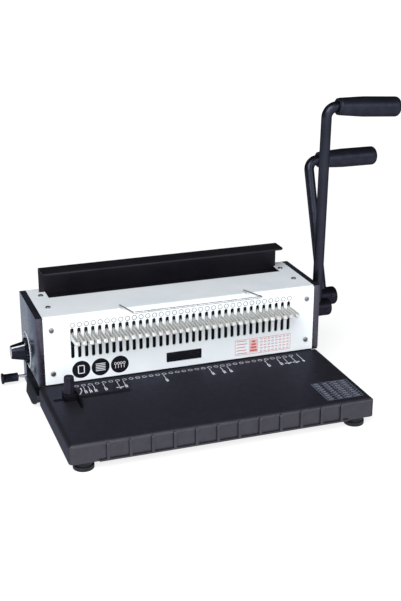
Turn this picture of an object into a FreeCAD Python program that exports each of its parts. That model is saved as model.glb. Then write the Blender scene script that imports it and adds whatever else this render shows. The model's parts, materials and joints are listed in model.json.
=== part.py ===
import FreeCAD, Part
import math
import os

# A hand operated desk machine that punches a row of holes along a paper edge and
# closes a wire or comb binding. Two levers at the right hand side drive it.
# Sizes are millimetres. X runs along the machine, Y from front to back, Z up.
# While building, Y is 0 at the front of the cover and Z is 0 at the floor.

# Hole row
hole_pitch = 25.4 / 3
hole_count = 34
slot_width = 4.3
slot_low = 67.6
slot_high = 106.4

# Body
row_margin = 34.6
panel_thick = 8.0
panel_edge = 0.5
low_corner = 2.0
frame_thick = 4.0
flange_reach = 13.0
body_top = 123.3
body_behind = 9.9
sheet = 1.5
bend_radius = 4.0
flange_thick = 3.0

# Table in front of the cover
table_top = 35.8
table_low = 12.3
table_reach = 157.6
table_over = 0.2
table_wall = 3.0
table_nose = 4.5
table_shoulder = 5.5
table_corner = 5.0
rib_count = 12
rib_pitch = 25.4
rib_width = 3.4
rib_proud = 2.0
rib_drop = 3.6
foot_radius = 12.0
foot_inset_x = 18.5
foot_inset_y = 14.5
pan_low = 4.5
pan_side_front = 83.0
pan_side_top = 34.5
table_screw_up = 10.0

# Fingers that hold the binding element
finger_reach = 30.5
finger_width = 4.9
finger_round = 2.2
finger_corner = 2.5
finger_root = 3.7
finger_rise = 12.6
finger_tip = 5.7
finger_sheet = 0.8
finger_drop = 19.4
rack_high = 25.0
rack_thick = 2.0
hook_thick = 1.8

# Punching parts
throat = 1.7
plate_thick = 6.0
plate_depth = 24.3
punch_radius = 2.1
punch_set_back = 5.0
punch_rise = 1.7
bar_thick = 10.0
bar_depth = 16.0
bar_margin = 3.3
cap_thick = 2.0
yoke_thick = 4.0
cam_radius = 15.5
cam_offset = 8.0
punch_stroke = 10.0

# Shafts and levers
shaft_radius = 7.0
bush_radius = 9.0
bush_flange = 11.0
punch_shaft_y = 38.4
punch_shaft_z = 77.0
shaft_spacing = 32.2
bind_shaft_z = 79.0
bind_swing = 80.0
closing_stroke = 22.0
hook_stroke = 13.0
crank_pin_radius = 4.0
hook_pin_radius = 3.0
arm_radius = 6.6
arm_bend = 13.0
punch_hub_radius = 11.4
bind_hub_radius = 12.1
hub_length = 30.0
hub_gap = 3.2
arm_in_hub = 11.5
lever_spacing = 23.5
punch_arm_length = 267.0
punch_arm_lean = -1.75
punch_grip_droop = 3.4
bind_arm_length = 183.6
bind_arm_lean = 18.8
grip_length = 86.0
grip_radius = 12.6
grip_neck = 10.4

# Closing bar
closing_thick = 2.2
closing_corner = 5.0
closing_top = 155.0
closing_low = 60.0
closing_behind = 22.9
closing_depth = 29.0
closing_end = 2.7
window_step = 5.0
window_shift = 2.0
anvil_thick = 11.5

# Small fittings
screw_radius = 1.5
screw_head = 3.2
screw_head_high = 1.8
cover_screw_inset = 9.8
badge_left = 27.0
badge_right = 18.6
badge_low = 21.5
badge_high = 9.0
dial_y = 71.0
dial_z = 56.0
dial_skirt = 16.0
dial_grip = 8.7
dial_grip_root = 12.0
dial_reach = 20.2
dial_bore = 17.2
dial_notches = 12
dial_shaft_radius = 4.0
selector_y = 97.0
selector_z = 10.3
selector_radius = 2.5
selector_travel = 15.0
selector_grip = 5.5
selector_flange = 7.0
selector_flange_thick = 2.5
selector_length = 21.0
selector_inner = 9.2
selector_held = 15.0
selector_inside = 30.0
tray_front = 9.5
tray_depth = 66.0
tray_high = 20.6
tray_wall = 1.5
tray_flare = 4.0
tray_cut_y = 11.5
tray_cut_z = 8.4
guide_slot_y = -41.9
guide_slot_width = 6.5
guide_slot_length = 93.6
guide_inset = 19.5
guide_knob_high = 20.4
guide_knob_low = 6.6
guide_knob_top = 5.9
bail_radius = 1.2
bail_left = -79.1
bail_right = 80.4
bail_root_y = 6.7
bail_reach = 61.7
bail_rise = 15.0
bail_collar = 2.9

# Clearances
fit = 0.05
loose = 0.3
touch = 0.1

# Positions that follow from the sizes above
row_half = (hole_count - 1) / 2 * hole_pitch
body_half = row_half + row_margin
bar_half = row_half + bar_margin
frame_in = body_half - frame_thick
flange_in = frame_in - flange_reach
panel_out = body_half + panel_thick
table_half = panel_out + table_over
flange_y = sheet + touch
finger_y = flange_y + flange_thick + touch
hook_y = finger_y + rack_thick + 0.4
bar_y = hook_y + hook_thick + 0.9
punch_y = bar_y + punch_set_back
die_low = table_top - plate_thick
strip_low = table_top + throat
strip_top = strip_low + plate_thick
bar_low = strip_top + punch_stroke + 0.5
bar_top = bar_low + bar_thick
half_swing = math.asin(punch_stroke / 2 / cam_offset)
bind_half = math.radians(bind_swing / 2)
crank_offset = closing_stroke / 2 / math.sin(bind_half)
hook_offset = hook_stroke / 2 / math.sin(bind_half)
bind_shaft_y = punch_shaft_y + shaft_spacing
closing_back = bind_shaft_y + closing_behind
closing_front = closing_back - closing_depth
body_depth = closing_back + body_behind
shaft_left = -body_half - 2.0
punch_arm_x = panel_out + hub_gap + arm_in_hub
bind_arm_x = punch_arm_x + lever_spacing
hub_beyond = hub_length - arm_in_hub
frame_top = body_top - sheet - touch
hook_bracket_in = bar_half + yoke_thick + 2.0
hook_bracket_out = hook_bracket_in + 3.4
closing_bracket_in = hook_bracket_out + 1.0
closing_bracket_out = closing_bracket_in + 3.4
closing_half = closing_bracket_out + closing_end
window_half = closing_half - window_step
finger_low = slot_high - finger_drop
finger_top = finger_low + rack_high
web_front = closing_back - closing_thick
anvil_top = body_top - sheet - loose - flange_thick
guide_top = table_top + 8.1
guide_slot_left = -body_half
guide_slot_right = guide_slot_left + guide_slot_length
guide_x = guide_slot_left + guide_inset


def box(x0, x1, y0, y1, z0, z1):
    return Part.makeBox(x1 - x0, y1 - y0, z1 - z0, FreeCAD.Vector(x0, y0, z0))


def rod_x(x0, x1, y, z, radius):
    return Part.makeCylinder(radius, x1 - x0, FreeCAD.Vector(x0, y, z), FreeCAD.Vector(1, 0, 0))


def rod_y(y0, y1, x, z, radius):
    return Part.makeCylinder(radius, y1 - y0, FreeCAD.Vector(x, y0, z), FreeCAD.Vector(0, 1, 0))


def rod_z(z0, z1, x, y, radius):
    return Part.makeCylinder(radius, z1 - z0, FreeCAD.Vector(x, y, z0), FreeCAD.Vector(0, 0, 1))


def plate_x(x0, x1, outline):
    """A flat plate between two X positions, from a list of Y, Z corners."""
    corners = [FreeCAD.Vector(x0, y, z) for y, z in outline]
    face = Part.Face(Part.makePolygon(corners + corners[:1]))
    return face.extrude(FreeCAD.Vector(x1 - x0, 0, 0))


def joined(first, others):
    return first.multiFuse(others).removeSplitter()


def without(shape, cutters):
    return shape.cut(Part.makeCompound(cutters))


def both_sides(make):
    return Part.makeCompound([make(1), make(-1)])


def span(side, near, far):
    """Two X positions at the given side, smaller first."""
    return (near, far) if side > 0 else (-far, -near)


def rounded(shape, axis, corners, radius):
    """Round the edges that run along one axis through the given corners."""
    others = [i for i in range(3) if i != axis]
    picked = []
    for edge in shape.Edges:
        start = edge.Vertexes[0].Point
        end = edge.Vertexes[-1].Point
        if any(abs(start[i] - end[i]) > 1e-6 for i in others):
            continue
        for a, b in corners:
            if abs(start[others[0]] - a) < 1e-6 and abs(start[others[1]] - b) < 1e-6:
                picked.append(edge)
    return shape.makeFillet(radius, picked)


def hole_x(index):
    return index * hole_pitch - row_half


def screw_y(x, y, z, length, way):
    """A pan head screw along Y. The head sits at y and way is the side it sticks out."""
    if way < 0:
        head = rod_y(y - screw_head_high, y, x, z, screw_head)
        return head.fuse(rod_y(y, y + length, x, z, screw_radius)).removeSplitter()
    head = rod_y(y, y + screw_head_high, x, z, screw_head)
    return head.fuse(rod_y(y - length, y, x, z, screw_radius)).removeSplitter()


# The table with its moulded front


def table_block(inset, nose, corner, shoulder):
    x0 = -table_half + inset
    x1 = table_half - inset
    y0 = -table_reach + inset
    y1 = -inset
    z0 = table_low - inset
    z1 = table_top - inset
    block = box(x0, x1, y0, y1, z0, z1)
    along_x = rounded(block, 0, [(y0, z1)], nose)
    along_z = rounded(block, 2, [(x0, y0), (x1, y0)], corner)
    along_y = rounded(block, 1, [(x0, z1), (x1, z1)], shoulder)
    return along_x.common(along_z).common(along_y)


def front_rib(x):
    """A rib that follows the moulded nose of the table and has a round top."""
    back = -table_reach + table_wall - loose
    front = -table_reach - rib_proud
    top = table_top - rib_drop
    half = rib_width / 2
    post = box(x - half, x + half, front, back, table_low, top).fuse(rod_y(front, back, x, top, half))
    curve = box(x - half - 1, x + half + 1, front, -table_reach + table_nose, table_low, table_top)
    return post.common(rounded(curve, 0, [(front, table_top)], table_nose + rib_proud / 2))


def foot_places():
    return [(s * (table_half - foot_inset_x), -table_reach + foot_inset_y) for s in (-1, 1)]


def rear_foot_places():
    return [(s * (body_half - foot_radius - 12.0), body_depth - foot_radius - 5.0) for s in (-1, 1)]


def table():
    outer = table_block(0.0, table_nose, table_corner, table_shoulder)
    inner = table_block(table_wall, table_nose - table_wall, table_corner - table_wall,
                        table_shoulder - table_wall)
    shell = outer.cut(inner)
    extras = []
    for i in range(rib_count):
        extras.append(front_rib((i - (rib_count - 1) / 2) * rib_pitch))
    lip_half = rib_pitch * rib_count / 2 - 3.0
    lip_back = -table_reach + 1.0
    extras.append(box(-lip_half, lip_half, -table_reach - rib_proud, lip_back, table_low, table_low + 2.0))
    roof = table_top - table_wall + 0.5
    for share in (0.46, 0.74):
        y = -table_reach * share
        extras.append(box(-table_half + 1, table_half - 1, y - 1, y + 1, table_top - 16, roof))
    for x, y in foot_places():
        extras.append(rod_z(table_low, roof, x, y, 6.0))
    shell = joined(shell, extras)
    slot = box(guide_slot_left, guide_slot_right, guide_slot_y - guide_slot_width / 2,
               guide_slot_y + guide_slot_width / 2, table_top - 8, table_top + 1)
    slot = rounded(slot, 2, [(x, guide_slot_y + s * guide_slot_width / 2)
                             for x in (guide_slot_left, guide_slot_right) for s in (-1, 1)], 3.1)
    cutters = [slot]
    for x, y in foot_places():
        cutters.append(rod_z(table_low - 1, table_low + 14, x, y, screw_radius + fit))
    for x in table_screw_places():
        cutters.append(rod_y(-table_wall - 1, 1, x, table_low + table_screw_up, screw_radius + fit))
    return without(shell, cutters)


def foot(x, y, top):
    low = rod_z(0, min(5.0, top), x, y, foot_radius)
    ring = [e for e in low.Edges if abs(e.BoundBox.ZMax) < 1e-6 and len(e.Vertexes) == 1]
    body = low.makeFillet(1.2, ring)
    if top > 6:
        body = body.fuse(rod_z(5.0, top, x, y, foot_radius - 1.6)).removeSplitter()
    pocket = rod_z(-1, 2.2, x, y, screw_head + loose)
    return without(body, [pocket, rod_z(-1, top + 1, x, y, screw_radius + fit)])


def feet():
    tall = [foot(x, y, table_low) for x, y in foot_places()]
    low = [foot(x, y, pan_low) for x, y in rear_foot_places()]
    return Part.makeCompound(tall + low)


def foot_screws():
    out = []
    for x, y in foot_places():
        head = rod_z(0.6, 2.2, x, y, screw_head)
        out.append(head.fuse(rod_z(2.2, table_low + 10, x, y, screw_radius)).removeSplitter())
    for x, y in rear_foot_places():
        head = rod_z(0.6, 2.2, x, y, screw_head)
        out.append(head.fuse(rod_z(2.2, pan_low + sheet, x, y, screw_radius)).removeSplitter())
    return Part.makeCompound(out)


# The floor pan, side panels and steel side frames


def table_screw_places():
    return [-120.0, -60.0, 60.0, 120.0]


def pan_side(side):
    """The turned up side of the pan under the rear half of a side panel."""
    back = body_depth - sheet - touch
    x0, x1 = span(side, body_half - 1, panel_out)
    foot_sheet = box(x0, x1, pan_side_front, back, pan_low, pan_low + sheet)
    x0, x1 = span(side, panel_out - sheet, panel_out)
    wall = box(x0, x1, pan_side_front, back, pan_low, pan_side_top)
    x0, x1 = span(side, body_half + loose, panel_out)
    front = box(x0, x1, pan_side_front, pan_side_front + sheet, pan_low, pan_side_top)
    return joined(foot_sheet, [wall, front])


def pan():
    half = body_half - touch
    floor = box(-half, half, loose, body_depth - sheet - touch, pan_low, pan_low + sheet)
    lip_top = die_low - loose
    lip = box(-half, half, loose, loose + 1.2, pan_low, lip_top)
    sides = [pan_side(-1), pan_side(1)]
    shape = joined(floor, [lip] + sides)
    holes = [rod_y(-1, 3, x, table_low + table_screw_up, screw_radius + fit) for x in table_screw_places()]
    holes.append(rod_x(-panel_out - 1, -body_half, selector_y, selector_z, selector_radius + loose))
    for x, y in rear_foot_places():
        holes.append(rod_z(pan_low - 1, pan_low + 3, x, y, screw_radius + fit))
    return without(shape, holes)


def table_screws():
    out = []
    for x in table_screw_places():
        out.append(screw_y(x, loose + 1.2, table_low + table_screw_up, loose + 1.2 + table_wall, 1))
    return Part.makeCompound(out)


def panel_screw_places():
    return [(12.0, body_top - 11), (closing_back + 0.6, body_top - 11), (12.0, strip_top + 12),
            (body_depth - 8.4, strip_low + 7.4)]


def panel(side):
    x0, x1 = span(side, body_half, panel_out)
    block = box(x0, x1, 0, body_depth, strip_low, body_top)
    block = rounded(block, 1, [(panel_out * side, body_top)], panel_edge)
    block = rounded(block, 0, [(0.0, strip_low), (body_depth, strip_low)], low_corner)
    cutters = []
    near, far = span(side, body_half - 1, body_half + 4.2)
    for y, z in panel_screw_places():
        cutters.append(rod_x(near, far, y, z, screw_radius + fit))
    shafts = [(punch_shaft_y, punch_shaft_z), (bind_shaft_y, bind_shaft_z)]
    if side > 0:
        cutters += [rod_x(body_half - 1, panel_out + 1, y, z, bush_radius + 2 * fit) for y, z in shafts]
    else:
        cutters += [rod_x(-body_half - 4.0, -body_half + 1, y, z, bush_radius + 2 * fit) for y, z in shafts]
        cutters.append(rod_x(-panel_out - 1, -body_half + 1, dial_y, dial_z, dial_shaft_radius + loose))
    return without(block, cutters)


def left_panel():
    return panel(-1)


def right_panel():
    return panel(1)


def tie_rod_places():
    return [(body_depth - 7.9, table_top - 7.4), (bind_shaft_y - 12.6, table_top - 5.4),
            (punch_shaft_y + 11.6, body_top - 11.3)]


def side_frame(side):
    back = body_depth - sheet - touch
    x0, x1 = span(side, frame_in, body_half - touch)
    low = pan_low + sheet
    plate = box(x0, x1, flange_y, back, low, frame_top)
    x0, x1 = span(side, flange_in, frame_in + 1)
    front = box(x0, x1, flange_y, flange_y + flange_thick, strip_top + 0.4, frame_top - 4)
    top = box(x0, x1, punch_shaft_y - 10.4, web_front - 4, frame_top - flange_thick, frame_top)
    rear = box(x0, x1, back - 2, back, low + 14, frame_top - 4)
    ledge = box(x0, x1, flange_y + 1.4, plate_depth, die_low - 5, die_low)
    shape = joined(plate, [front, top, rear, ledge])
    x0, x1 = span(side, flange_in - 1, body_half + 1)
    corner = plate_x(x0, x1, [(flange_y - 1, frame_top + 1), (flange_y + 5, frame_top + 1),
                              (flange_y - 1, frame_top - 5)])
    cutters = [corner]
    near, far = span(side, frame_in - 2, body_half + 1)
    for y, z in ((punch_shaft_y, punch_shaft_z), (bind_shaft_y, bind_shaft_z)):
        cutters.append(rod_x(near, far, y, z, bush_radius + fit))
    for y, z in tie_rod_places():
        cutters.append(rod_x(near, far, y, z, 3.0 + fit))
    for y, z in panel_screw_places():
        cutters.append(rod_x(near, far, y, z, screw_radius + fit))
    if side < 0:
        cutters.append(box(near, far, tray_front - 1.5, tray_front + tray_depth + 1.5, 0, tray_high + 3))
        cutters.append(rod_x(near, far, dial_y, dial_z, dial_shaft_radius + fit))
        cutters.append(rod_x(near, far, selector_y, selector_z, selector_radius + fit))
    for x, z in front_screw_places():
        cutters.append(rod_y(0, flange_y + flange_thick + 1, x, z, screw_radius + fit))
    for x, y in top_screw_places():
        cutters.append(rod_z(frame_top - flange_thick - 1, frame_top + 1, x, y, screw_radius + fit))
    for x, z in rack_screw_places():
        cutters.append(rod_y(0, flange_y + flange_thick + 1, x, z, screw_radius + fit))
    for x, z in back_screw_places():
        cutters.append(rod_y(back - 3, back + 1, x, z, screw_radius + fit))
    return without(shape, cutters)


def left_frame():
    return side_frame(-1)


def right_frame():
    return side_frame(1)


def panel_screws():
    out = []
    for side in (-1, 1):
        for y, z in panel_screw_places():
            x0, x1 = span(side, frame_in - screw_head_high, frame_in)
            head = rod_x(x0, x1, y, z, screw_head)
            x0, x1 = span(side, frame_in, body_half + 4.0)
            out.append(head.fuse(rod_x(x0, x1, y, z, screw_radius)).removeSplitter())
    return Part.makeCompound(out)


def tie_rods():
    out = []
    for y, z in tie_rod_places():
        bar = rod_x(-frame_in, frame_in, y, z, 4.0)
        out.append(bar.fuse(rod_x(-body_half + 0.2, body_half - 0.2, y, z, 3.0)).removeSplitter())
    return Part.makeCompound(out)


# The sheet cover and what is fixed to it


def front_screw_places():
    x = body_half - cover_screw_inset
    return [(s * x, z) for s in (-1, 1) for z in (body_top - 16.5, strip_top + 7.8)]


def top_screw_places():
    x = frame_in - 9.8
    return [(s * x, y) for s in (-1, 1) for y in (punch_shaft_y - 5.1, web_front - 14.3)]


def rack_screw_places():
    x = body_half - cover_screw_inset
    return [(s * x, z) for s in (-1, 1) for z in (finger_low + 3.6, finger_low + 12.0)]


def back_screw_places():
    x = body_half - cover_screw_inset
    return [(s * x, z) for s in (-1, 1) for z in (table_top + 12, body_top - 22)]


def cover():
    half = body_half - fit
    foot_z = table_top + throat
    outer = box(-half, half, 0, body_depth, foot_z, body_top)
    outer = rounded(outer, 0, [(0.0, body_top)], bend_radius)
    inner = box(-half - 1, half + 1, sheet, body_depth + 1, foot_z - 1, body_top - sheet)
    inner = rounded(inner, 0, [(sheet, body_top - sheet)], bend_radius - sheet)
    shell = outer.cut(inner)
    cutters = []
    r = slot_width / 2
    for i in range(hole_count):
        x = hole_x(i)
        cutters.append(box(x - r, x + r, -1, sheet + 1, slot_low + r, slot_high - r))
        cutters.append(rod_y(-1, sheet + 1, x, slot_low + r, r))
        cutters.append(rod_y(-1, sheet + 1, x, slot_high - r, r))
    low = body_top - sheet - 1
    high = body_top + 1
    window_low = window_shift - window_half
    window_high = window_shift + window_half
    cutters.append(box(window_low, window_high, closing_front + 2.3, web_front - 0.5, low, high))
    cutters.append(box(-closing_half - 2, closing_half + 2, web_front - 1, closing_back + 1.2, low, high))
    for x in (bail_left, bail_right):
        cutters.append(rod_z(low, high, x, bail_root_y, bail_radius + fit))
    for x, z in front_screw_places():
        cutters.append(rod_y(-1, sheet + 1, x, z, screw_radius + 0.2))
    for x, y in top_screw_places():
        cutters.append(rod_z(low, high, x, y, screw_radius + 0.2))
    return without(shell, cutters)


def cover_screws():
    out = []
    for x, z in front_screw_places():
        out.append(screw_y(x, 0, z, flange_y + flange_thick - touch, -1))
    for x, y in top_screw_places():
        head = rod_z(body_top, body_top + screw_head_high, x, y, screw_head)
        shank = rod_z(frame_top - flange_thick + touch, body_top, x, y, screw_radius)
        out.append(head.fuse(shank).removeSplitter())
    return Part.makeCompound(out)


def back_cover():
    half = body_half - touch
    plate = box(-half, half, body_depth - sheet, body_depth, pan_low + sheet, body_top - sheet - touch)
    return without(plate, [rod_y(body_depth - 4, body_depth + 1, x, z, screw_radius + 0.2)
                           for x, z in back_screw_places()])


def back_screws():
    out = []
    for x, z in back_screw_places():
        out.append(screw_y(x, body_depth, z, sheet + 1.9, 1))
    return Part.makeCompound(out)


def badge():
    middle_x = hole_x(hole_count / 2)
    x0 = middle_x - badge_left
    x1 = middle_x + badge_right
    low = slot_low - badge_low
    high = slot_low - badge_high
    plate = box(x0, x1, -0.8, 0, low, high)
    return rounded(plate, 1, [(a, b) for a in (x0, x1) for b in (low, high)], 0.8)


def swept_rod(points, bend, radius):
    """A round bar along a path of straight lines with rounded corners."""
    edges = []
    start = points[0]
    for i in range(1, len(points) - 1):
        corner = points[i]
        back = (points[i - 1] - corner).normalize()
        ahead = (points[i + 1] - corner).normalize()
        half = math.acos(max(-1.0, min(1.0, back.dot(ahead)))) / 2
        cut = bend / math.tan(half)
        first = corner + back * cut
        last = corner + ahead * cut
        middle = (back + ahead).normalize()
        centre = corner + middle * (bend / math.sin(half))
        edges.append(Part.LineSegment(start, first).toShape())
        edges.append(Part.Arc(first, centre - middle * bend, last).toShape())
        start = last
    edges.append(Part.LineSegment(start, points[-1]).toShape())
    path = Part.Wire(edges)
    along = (points[1] - points[0]).normalize()
    ring = Part.Wire(Part.makeCircle(radius, points[0], along))
    return path.makePipeShell([ring], True, True)


def wire_bail():
    front = bail_root_y - bail_reach
    rail = body_top + bail_rise
    low = frame_top - 8
    knee = body_top + 1.5 + bail_radius
    points = [FreeCAD.Vector(bail_left, bail_root_y, low), FreeCAD.Vector(bail_left, bail_root_y, knee),
              FreeCAD.Vector(bail_left, front, rail), FreeCAD.Vector(bail_right, front, rail),
              FreeCAD.Vector(bail_right, bail_root_y, knee), FreeCAD.Vector(bail_right, bail_root_y, low)]
    return swept_rod(points, 2.5, bail_radius)


def bail_collars():
    out = []
    for x in (bail_left, bail_right):
        ring = rod_z(frame_top - 2.2, frame_top, x, bail_root_y, bail_collar)
        out.append(ring.cut(rod_z(frame_top - 3, frame_top + 1, x, bail_root_y, bail_radius + fit)))
    return Part.makeCompound(out)


# The fixed fingers and the sliding hooks


def finger_trough(wall):
    """A long bar with a round bottom that follows the sloping underside of a finger."""
    wide = finger_width / 2 - wall
    corner = finger_round - wall
    low = finger_low + finger_root + wall
    high = finger_low + finger_rise + 2
    slope = (finger_tip + finger_root - finger_rise) / (finger_reach - finger_corner)
    y = finger_y + 2
    z = low + slope * y
    run = y + finger_reach + 2
    bend = corner * math.sqrt(0.5)
    left = [FreeCAD.Vector(-wide, y, z + corner), FreeCAD.Vector(-wide + corner - bend, y, z + corner - bend),
            FreeCAD.Vector(-wide + corner, y, z)]
    right = [FreeCAD.Vector(-p.x, y, p.z) for p in reversed(left)]
    top_left = FreeCAD.Vector(-wide, y, high + slope * y + 2)
    top_right = FreeCAD.Vector(wide, y, high + slope * y + 2)
    outline = [Part.Arc(*left).toShape(), Part.makeLine(left[2], right[0]), Part.Arc(*right).toShape(),
               Part.makeLine(right[2], top_right), Part.makeLine(top_right, top_left),
               Part.makeLine(top_left, left[0])]
    return Part.Face(Part.Wire(outline)).extrude(FreeCAD.Vector(0, -run, -slope * run))


def finger_part(wall):
    """The outside of a finger when wall is 0, and its hollow otherwise."""
    root = slot_width / 2 - 0.6 - wall
    wide = finger_width / 2 - wall
    end = -finger_reach + wall
    top = finger_low + finger_rise
    low = finger_low + finger_root + wall
    tip_low = top - finger_tip + wall
    back = finger_y + 0.5
    high = top + 1 if wall > 0 else top
    side_view = [(back, low), (0, low), (end + finger_corner, tip_low), (end, tip_low + 1.5),
                 (end, top - finger_corner), (end + finger_corner, high), (back, high)]
    plan = [(root, back), (root, -1.5), (wide, -9.0), (wide, end), (-wide, end), (-wide, -9.0),
            (-root, -1.5), (-root, back)]
    corners = [FreeCAD.Vector(a, y, low - 1) for a, y in plan]
    column = Part.Face(Part.makePolygon(corners + corners[:1])).extrude(FreeCAD.Vector(0, 0, finger_rise + 3))
    return plate_x(-wide - 1, wide + 1, side_view).common(column).common(finger_trough(wall))


def fingers():
    one = finger_part(0).cut(finger_part(finger_sheet))
    out = []
    for i in range(hole_count):
        copy = one.copy()
        copy.translate(FreeCAD.Vector(hole_x(i), 0, 0))
        out.append(copy)
    return out


def finger_rack():
    half = frame_in - 0.8
    plate = box(-half, half, finger_y, finger_y + rack_thick, finger_low, finger_top)
    shape = joined(plate, fingers())
    holes = [rod_y(finger_y - 1, finger_y + rack_thick + 1, x, z, screw_radius + fit)
             for x, z in rack_screw_places()]
    return without(shape, holes)


def rack_screws():
    out = []
    for x, z in rack_screw_places():
        out.append(screw_y(x, finger_y + rack_thick, z, rack_thick + flange_thick, 1))
    return Part.makeCompound(out)


def hook(x):
    half = slot_width / 2 - 0.35
    low = slot_low + hook_stroke + 1.4
    top = finger_low - 0.6
    outline = [(hook_y + 0.5, low), (1.0, low), (-1.2, low + 1.8), (-1.2, top), (hook_y + 0.5, top)]
    return plate_x(x - half, x + half, outline)


def hook_rack():
    low = strip_top + hook_stroke + 1.7
    top = finger_low + 2
    plate = box(-hook_bracket_out, hook_bracket_out, hook_y, hook_y + hook_thick, low, top)
    return joined(plate, [hook(hole_x(i)) for i in range(hole_count)])


def pin_height(offset):
    """Height of a crank pin in the rest pose."""
    return bind_shaft_z + offset * math.sin(bind_half)


def fork_post(offset, pin, low, top, spare):
    """Corners of a post with a slot that is open to the rear and holds a crank pin."""
    front = punch_shaft_y + shaft_radius + 1.6
    back = bind_shaft_y - shaft_radius - 0.7
    z = pin_height(offset)
    slot_front = bind_shaft_y - offset - pin - 0.4
    gap = pin + spare
    return [(back, low), (back, z - gap), (slot_front, z - gap), (slot_front, z + gap), (back, z + gap),
            (back, top), (front, top), (front, low)]


def hook_bracket(side):
    x0, x1 = span(side, hook_bracket_in, hook_bracket_out)
    low = strip_top + hook_stroke + 1.7
    high = punch_shaft_z - shaft_radius - 1.5
    top = pin_height(hook_offset) + hook_pin_radius + 6
    post = plate_x(x0, x1, fork_post(hook_offset, hook_pin_radius, low, top, 0.35))
    front = hook_y + hook_thick
    bar = box(x0, x1, front, punch_shaft_y + shaft_radius + 3, low, high)
    return post.fuse(bar).removeSplitter()


def hook_brackets():
    return both_sides(hook_bracket)


# Punching parts


def guide_post_places():
    return [(s * hole_pitch * 14, punch_y + 6.8) for s in (-1, 1)]


def die_screw_places():
    return [(k * hole_pitch * 9, punch_y + 8.0) for k in (-2, -1, 0, 1, 2)]


def die_holes(z0, z1, radius):
    return [rod_z(z0, z1, hole_x(i), punch_y, radius) for i in range(hole_count)]


def die_plate():
    half = frame_in - touch
    plate = box(-half, half, loose, flange_y + plate_depth, die_low, table_top)
    cutters = die_holes(die_low - 1, table_top + 1, punch_radius + 0.08)
    cutters += die_holes(die_low - 1, die_low + 2.5, punch_radius + 0.6)
    for x, y in die_screw_places():
        cutters.append(rod_z(die_low + 1.5, table_top + 1, x, y, screw_radius + fit))
    return without(plate, cutters)


def paper_stop():
    half = frame_in - touch
    strip = box(-half, half, punch_y + 4.6, flange_y + plate_depth, table_top, table_top + throat)
    return without(strip, [rod_z(table_top - 1, strip_low + 1, x, y, screw_radius + fit)
                           for x, y in die_screw_places()])


def stripper():
    half = frame_in - touch
    plate = box(-half, half, flange_y, flange_y + plate_depth, strip_low, strip_top)
    cutters = die_holes(strip_low - 1, strip_top + 1, punch_radius + fit)
    for x, y in die_screw_places():
        cutters.append(rod_z(strip_low - 1, strip_top + 1, x, y, screw_radius + fit))
        cutters.append(rod_z(strip_top - 2.2, strip_top + 1, x, y, screw_head + fit))
    for x, y in guide_post_places():
        cutters.append(rod_z(strip_low + 2, strip_top + 1, x, y, 2.5 + fit))
    return without(plate, cutters)


def die_screws():
    out = []
    for x, y in die_screw_places():
        head = rod_z(strip_top - 2.2, strip_top - 0.3, x, y, screw_head)
        out.append(head.fuse(rod_z(die_low + 2, strip_top - 2.2, x, y, screw_radius)).removeSplitter())
    return Part.makeCompound(out)


def guide_posts():
    top = bar_top + cap_thick + 2
    return Part.makeCompound([rod_z(strip_low + 2, top, x, y, 2.5) for x, y in guide_post_places()])


def punch_bar():
    bar = box(-bar_half, bar_half, bar_y, bar_y + bar_depth, bar_low, bar_top)
    cutters = die_holes(bar_low - 1, bar_top + 1, punch_radius + fit)
    cutters += die_holes(bar_top - 2.2, bar_top + 1, punch_radius + 0.6)
    for x, y in guide_post_places():
        cutters.append(rod_z(bar_low - 1, bar_top + 1, x, y, 2.5 + fit))
    for side in (-1, 1):
        near, far = span(side, bar_half - 9, bar_half + 1)
        for y, z in yoke_screw_places():
            cutters.append(rod_x(near, far, y, z, screw_radius + fit))
    return without(bar, cutters)


def punch_cap():
    strip = box(-bar_half, bar_half, bar_y, bar_y + bar_depth, bar_top, bar_top + cap_thick)
    return without(strip, [rod_z(bar_top - 1, bar_top + cap_thick + 1, x, y, 2.5 + fit)
                           for x, y in guide_post_places()])


def punches():
    out = []
    tip = strip_low + punch_rise
    for i in range(hole_count):
        x = hole_x(i)
        head = rod_z(bar_top - 2.1, bar_top, x, punch_y, punch_radius + 0.5)
        out.append(head.fuse(rod_z(tip, bar_top - 2.1, x, punch_y, punch_radius)).removeSplitter())
    return Part.makeCompound(out)


def yoke_screw_places():
    return [(bar_y + 11.5, bar_low + 2.6), (bar_y + 11.5, bar_low + 7.4)]


def cam_height():
    return punch_shaft_z + punch_stroke / 2


def punch_yoke(side):
    x0, x1 = span(side, bar_half, bar_half + yoke_thick)
    window_front = punch_shaft_y - cam_offset - cam_radius - 0.6
    window_back = punch_shaft_y - cam_offset * math.cos(half_swing) + cam_radius + 0.6
    window_low = cam_height() - cam_radius - 0.25
    window_top = cam_height() + cam_radius + 0.25
    plate = box(x0, x1, bar_y + 0.2, window_back + 3.2, bar_low, window_top + 4)
    cutters = [box(x0 - 1, x1 + 1, window_front, window_back, window_low, window_top)]
    for y, z in yoke_screw_places():
        cutters.append(rod_x(x0 - 1, x1 + 1, y, z, screw_radius + fit))
    return without(plate, cutters)


def punch_yokes():
    return both_sides(punch_yoke)


def yoke_screws():
    out = []
    for side in (-1, 1):
        for y, z in yoke_screw_places():
            far = bar_half + yoke_thick
            x0, x1 = span(side, far, far + 1.4)
            head = rod_x(x0, x1, y, z, 2.2)
            x0, x1 = span(side, bar_half - 8, far)
            out.append(head.fuse(rod_x(x0, x1, y, z, screw_radius)).removeSplitter())
    return Part.makeCompound(out)


def punch_cam(side):
    x0, x1 = span(side, bar_half + loose, bar_half + yoke_thick + 0.8)
    y = punch_shaft_y - cam_offset * math.cos(half_swing)
    disc = rod_x(x0, x1, y, cam_height(), cam_radius)
    return disc.cut(rod_x(x0 - 1, x1 + 1, punch_shaft_y, punch_shaft_z, shaft_radius + fit / 2))


def punch_cams():
    return both_sides(punch_cam)


# Shafts, cranks and levers


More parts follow.
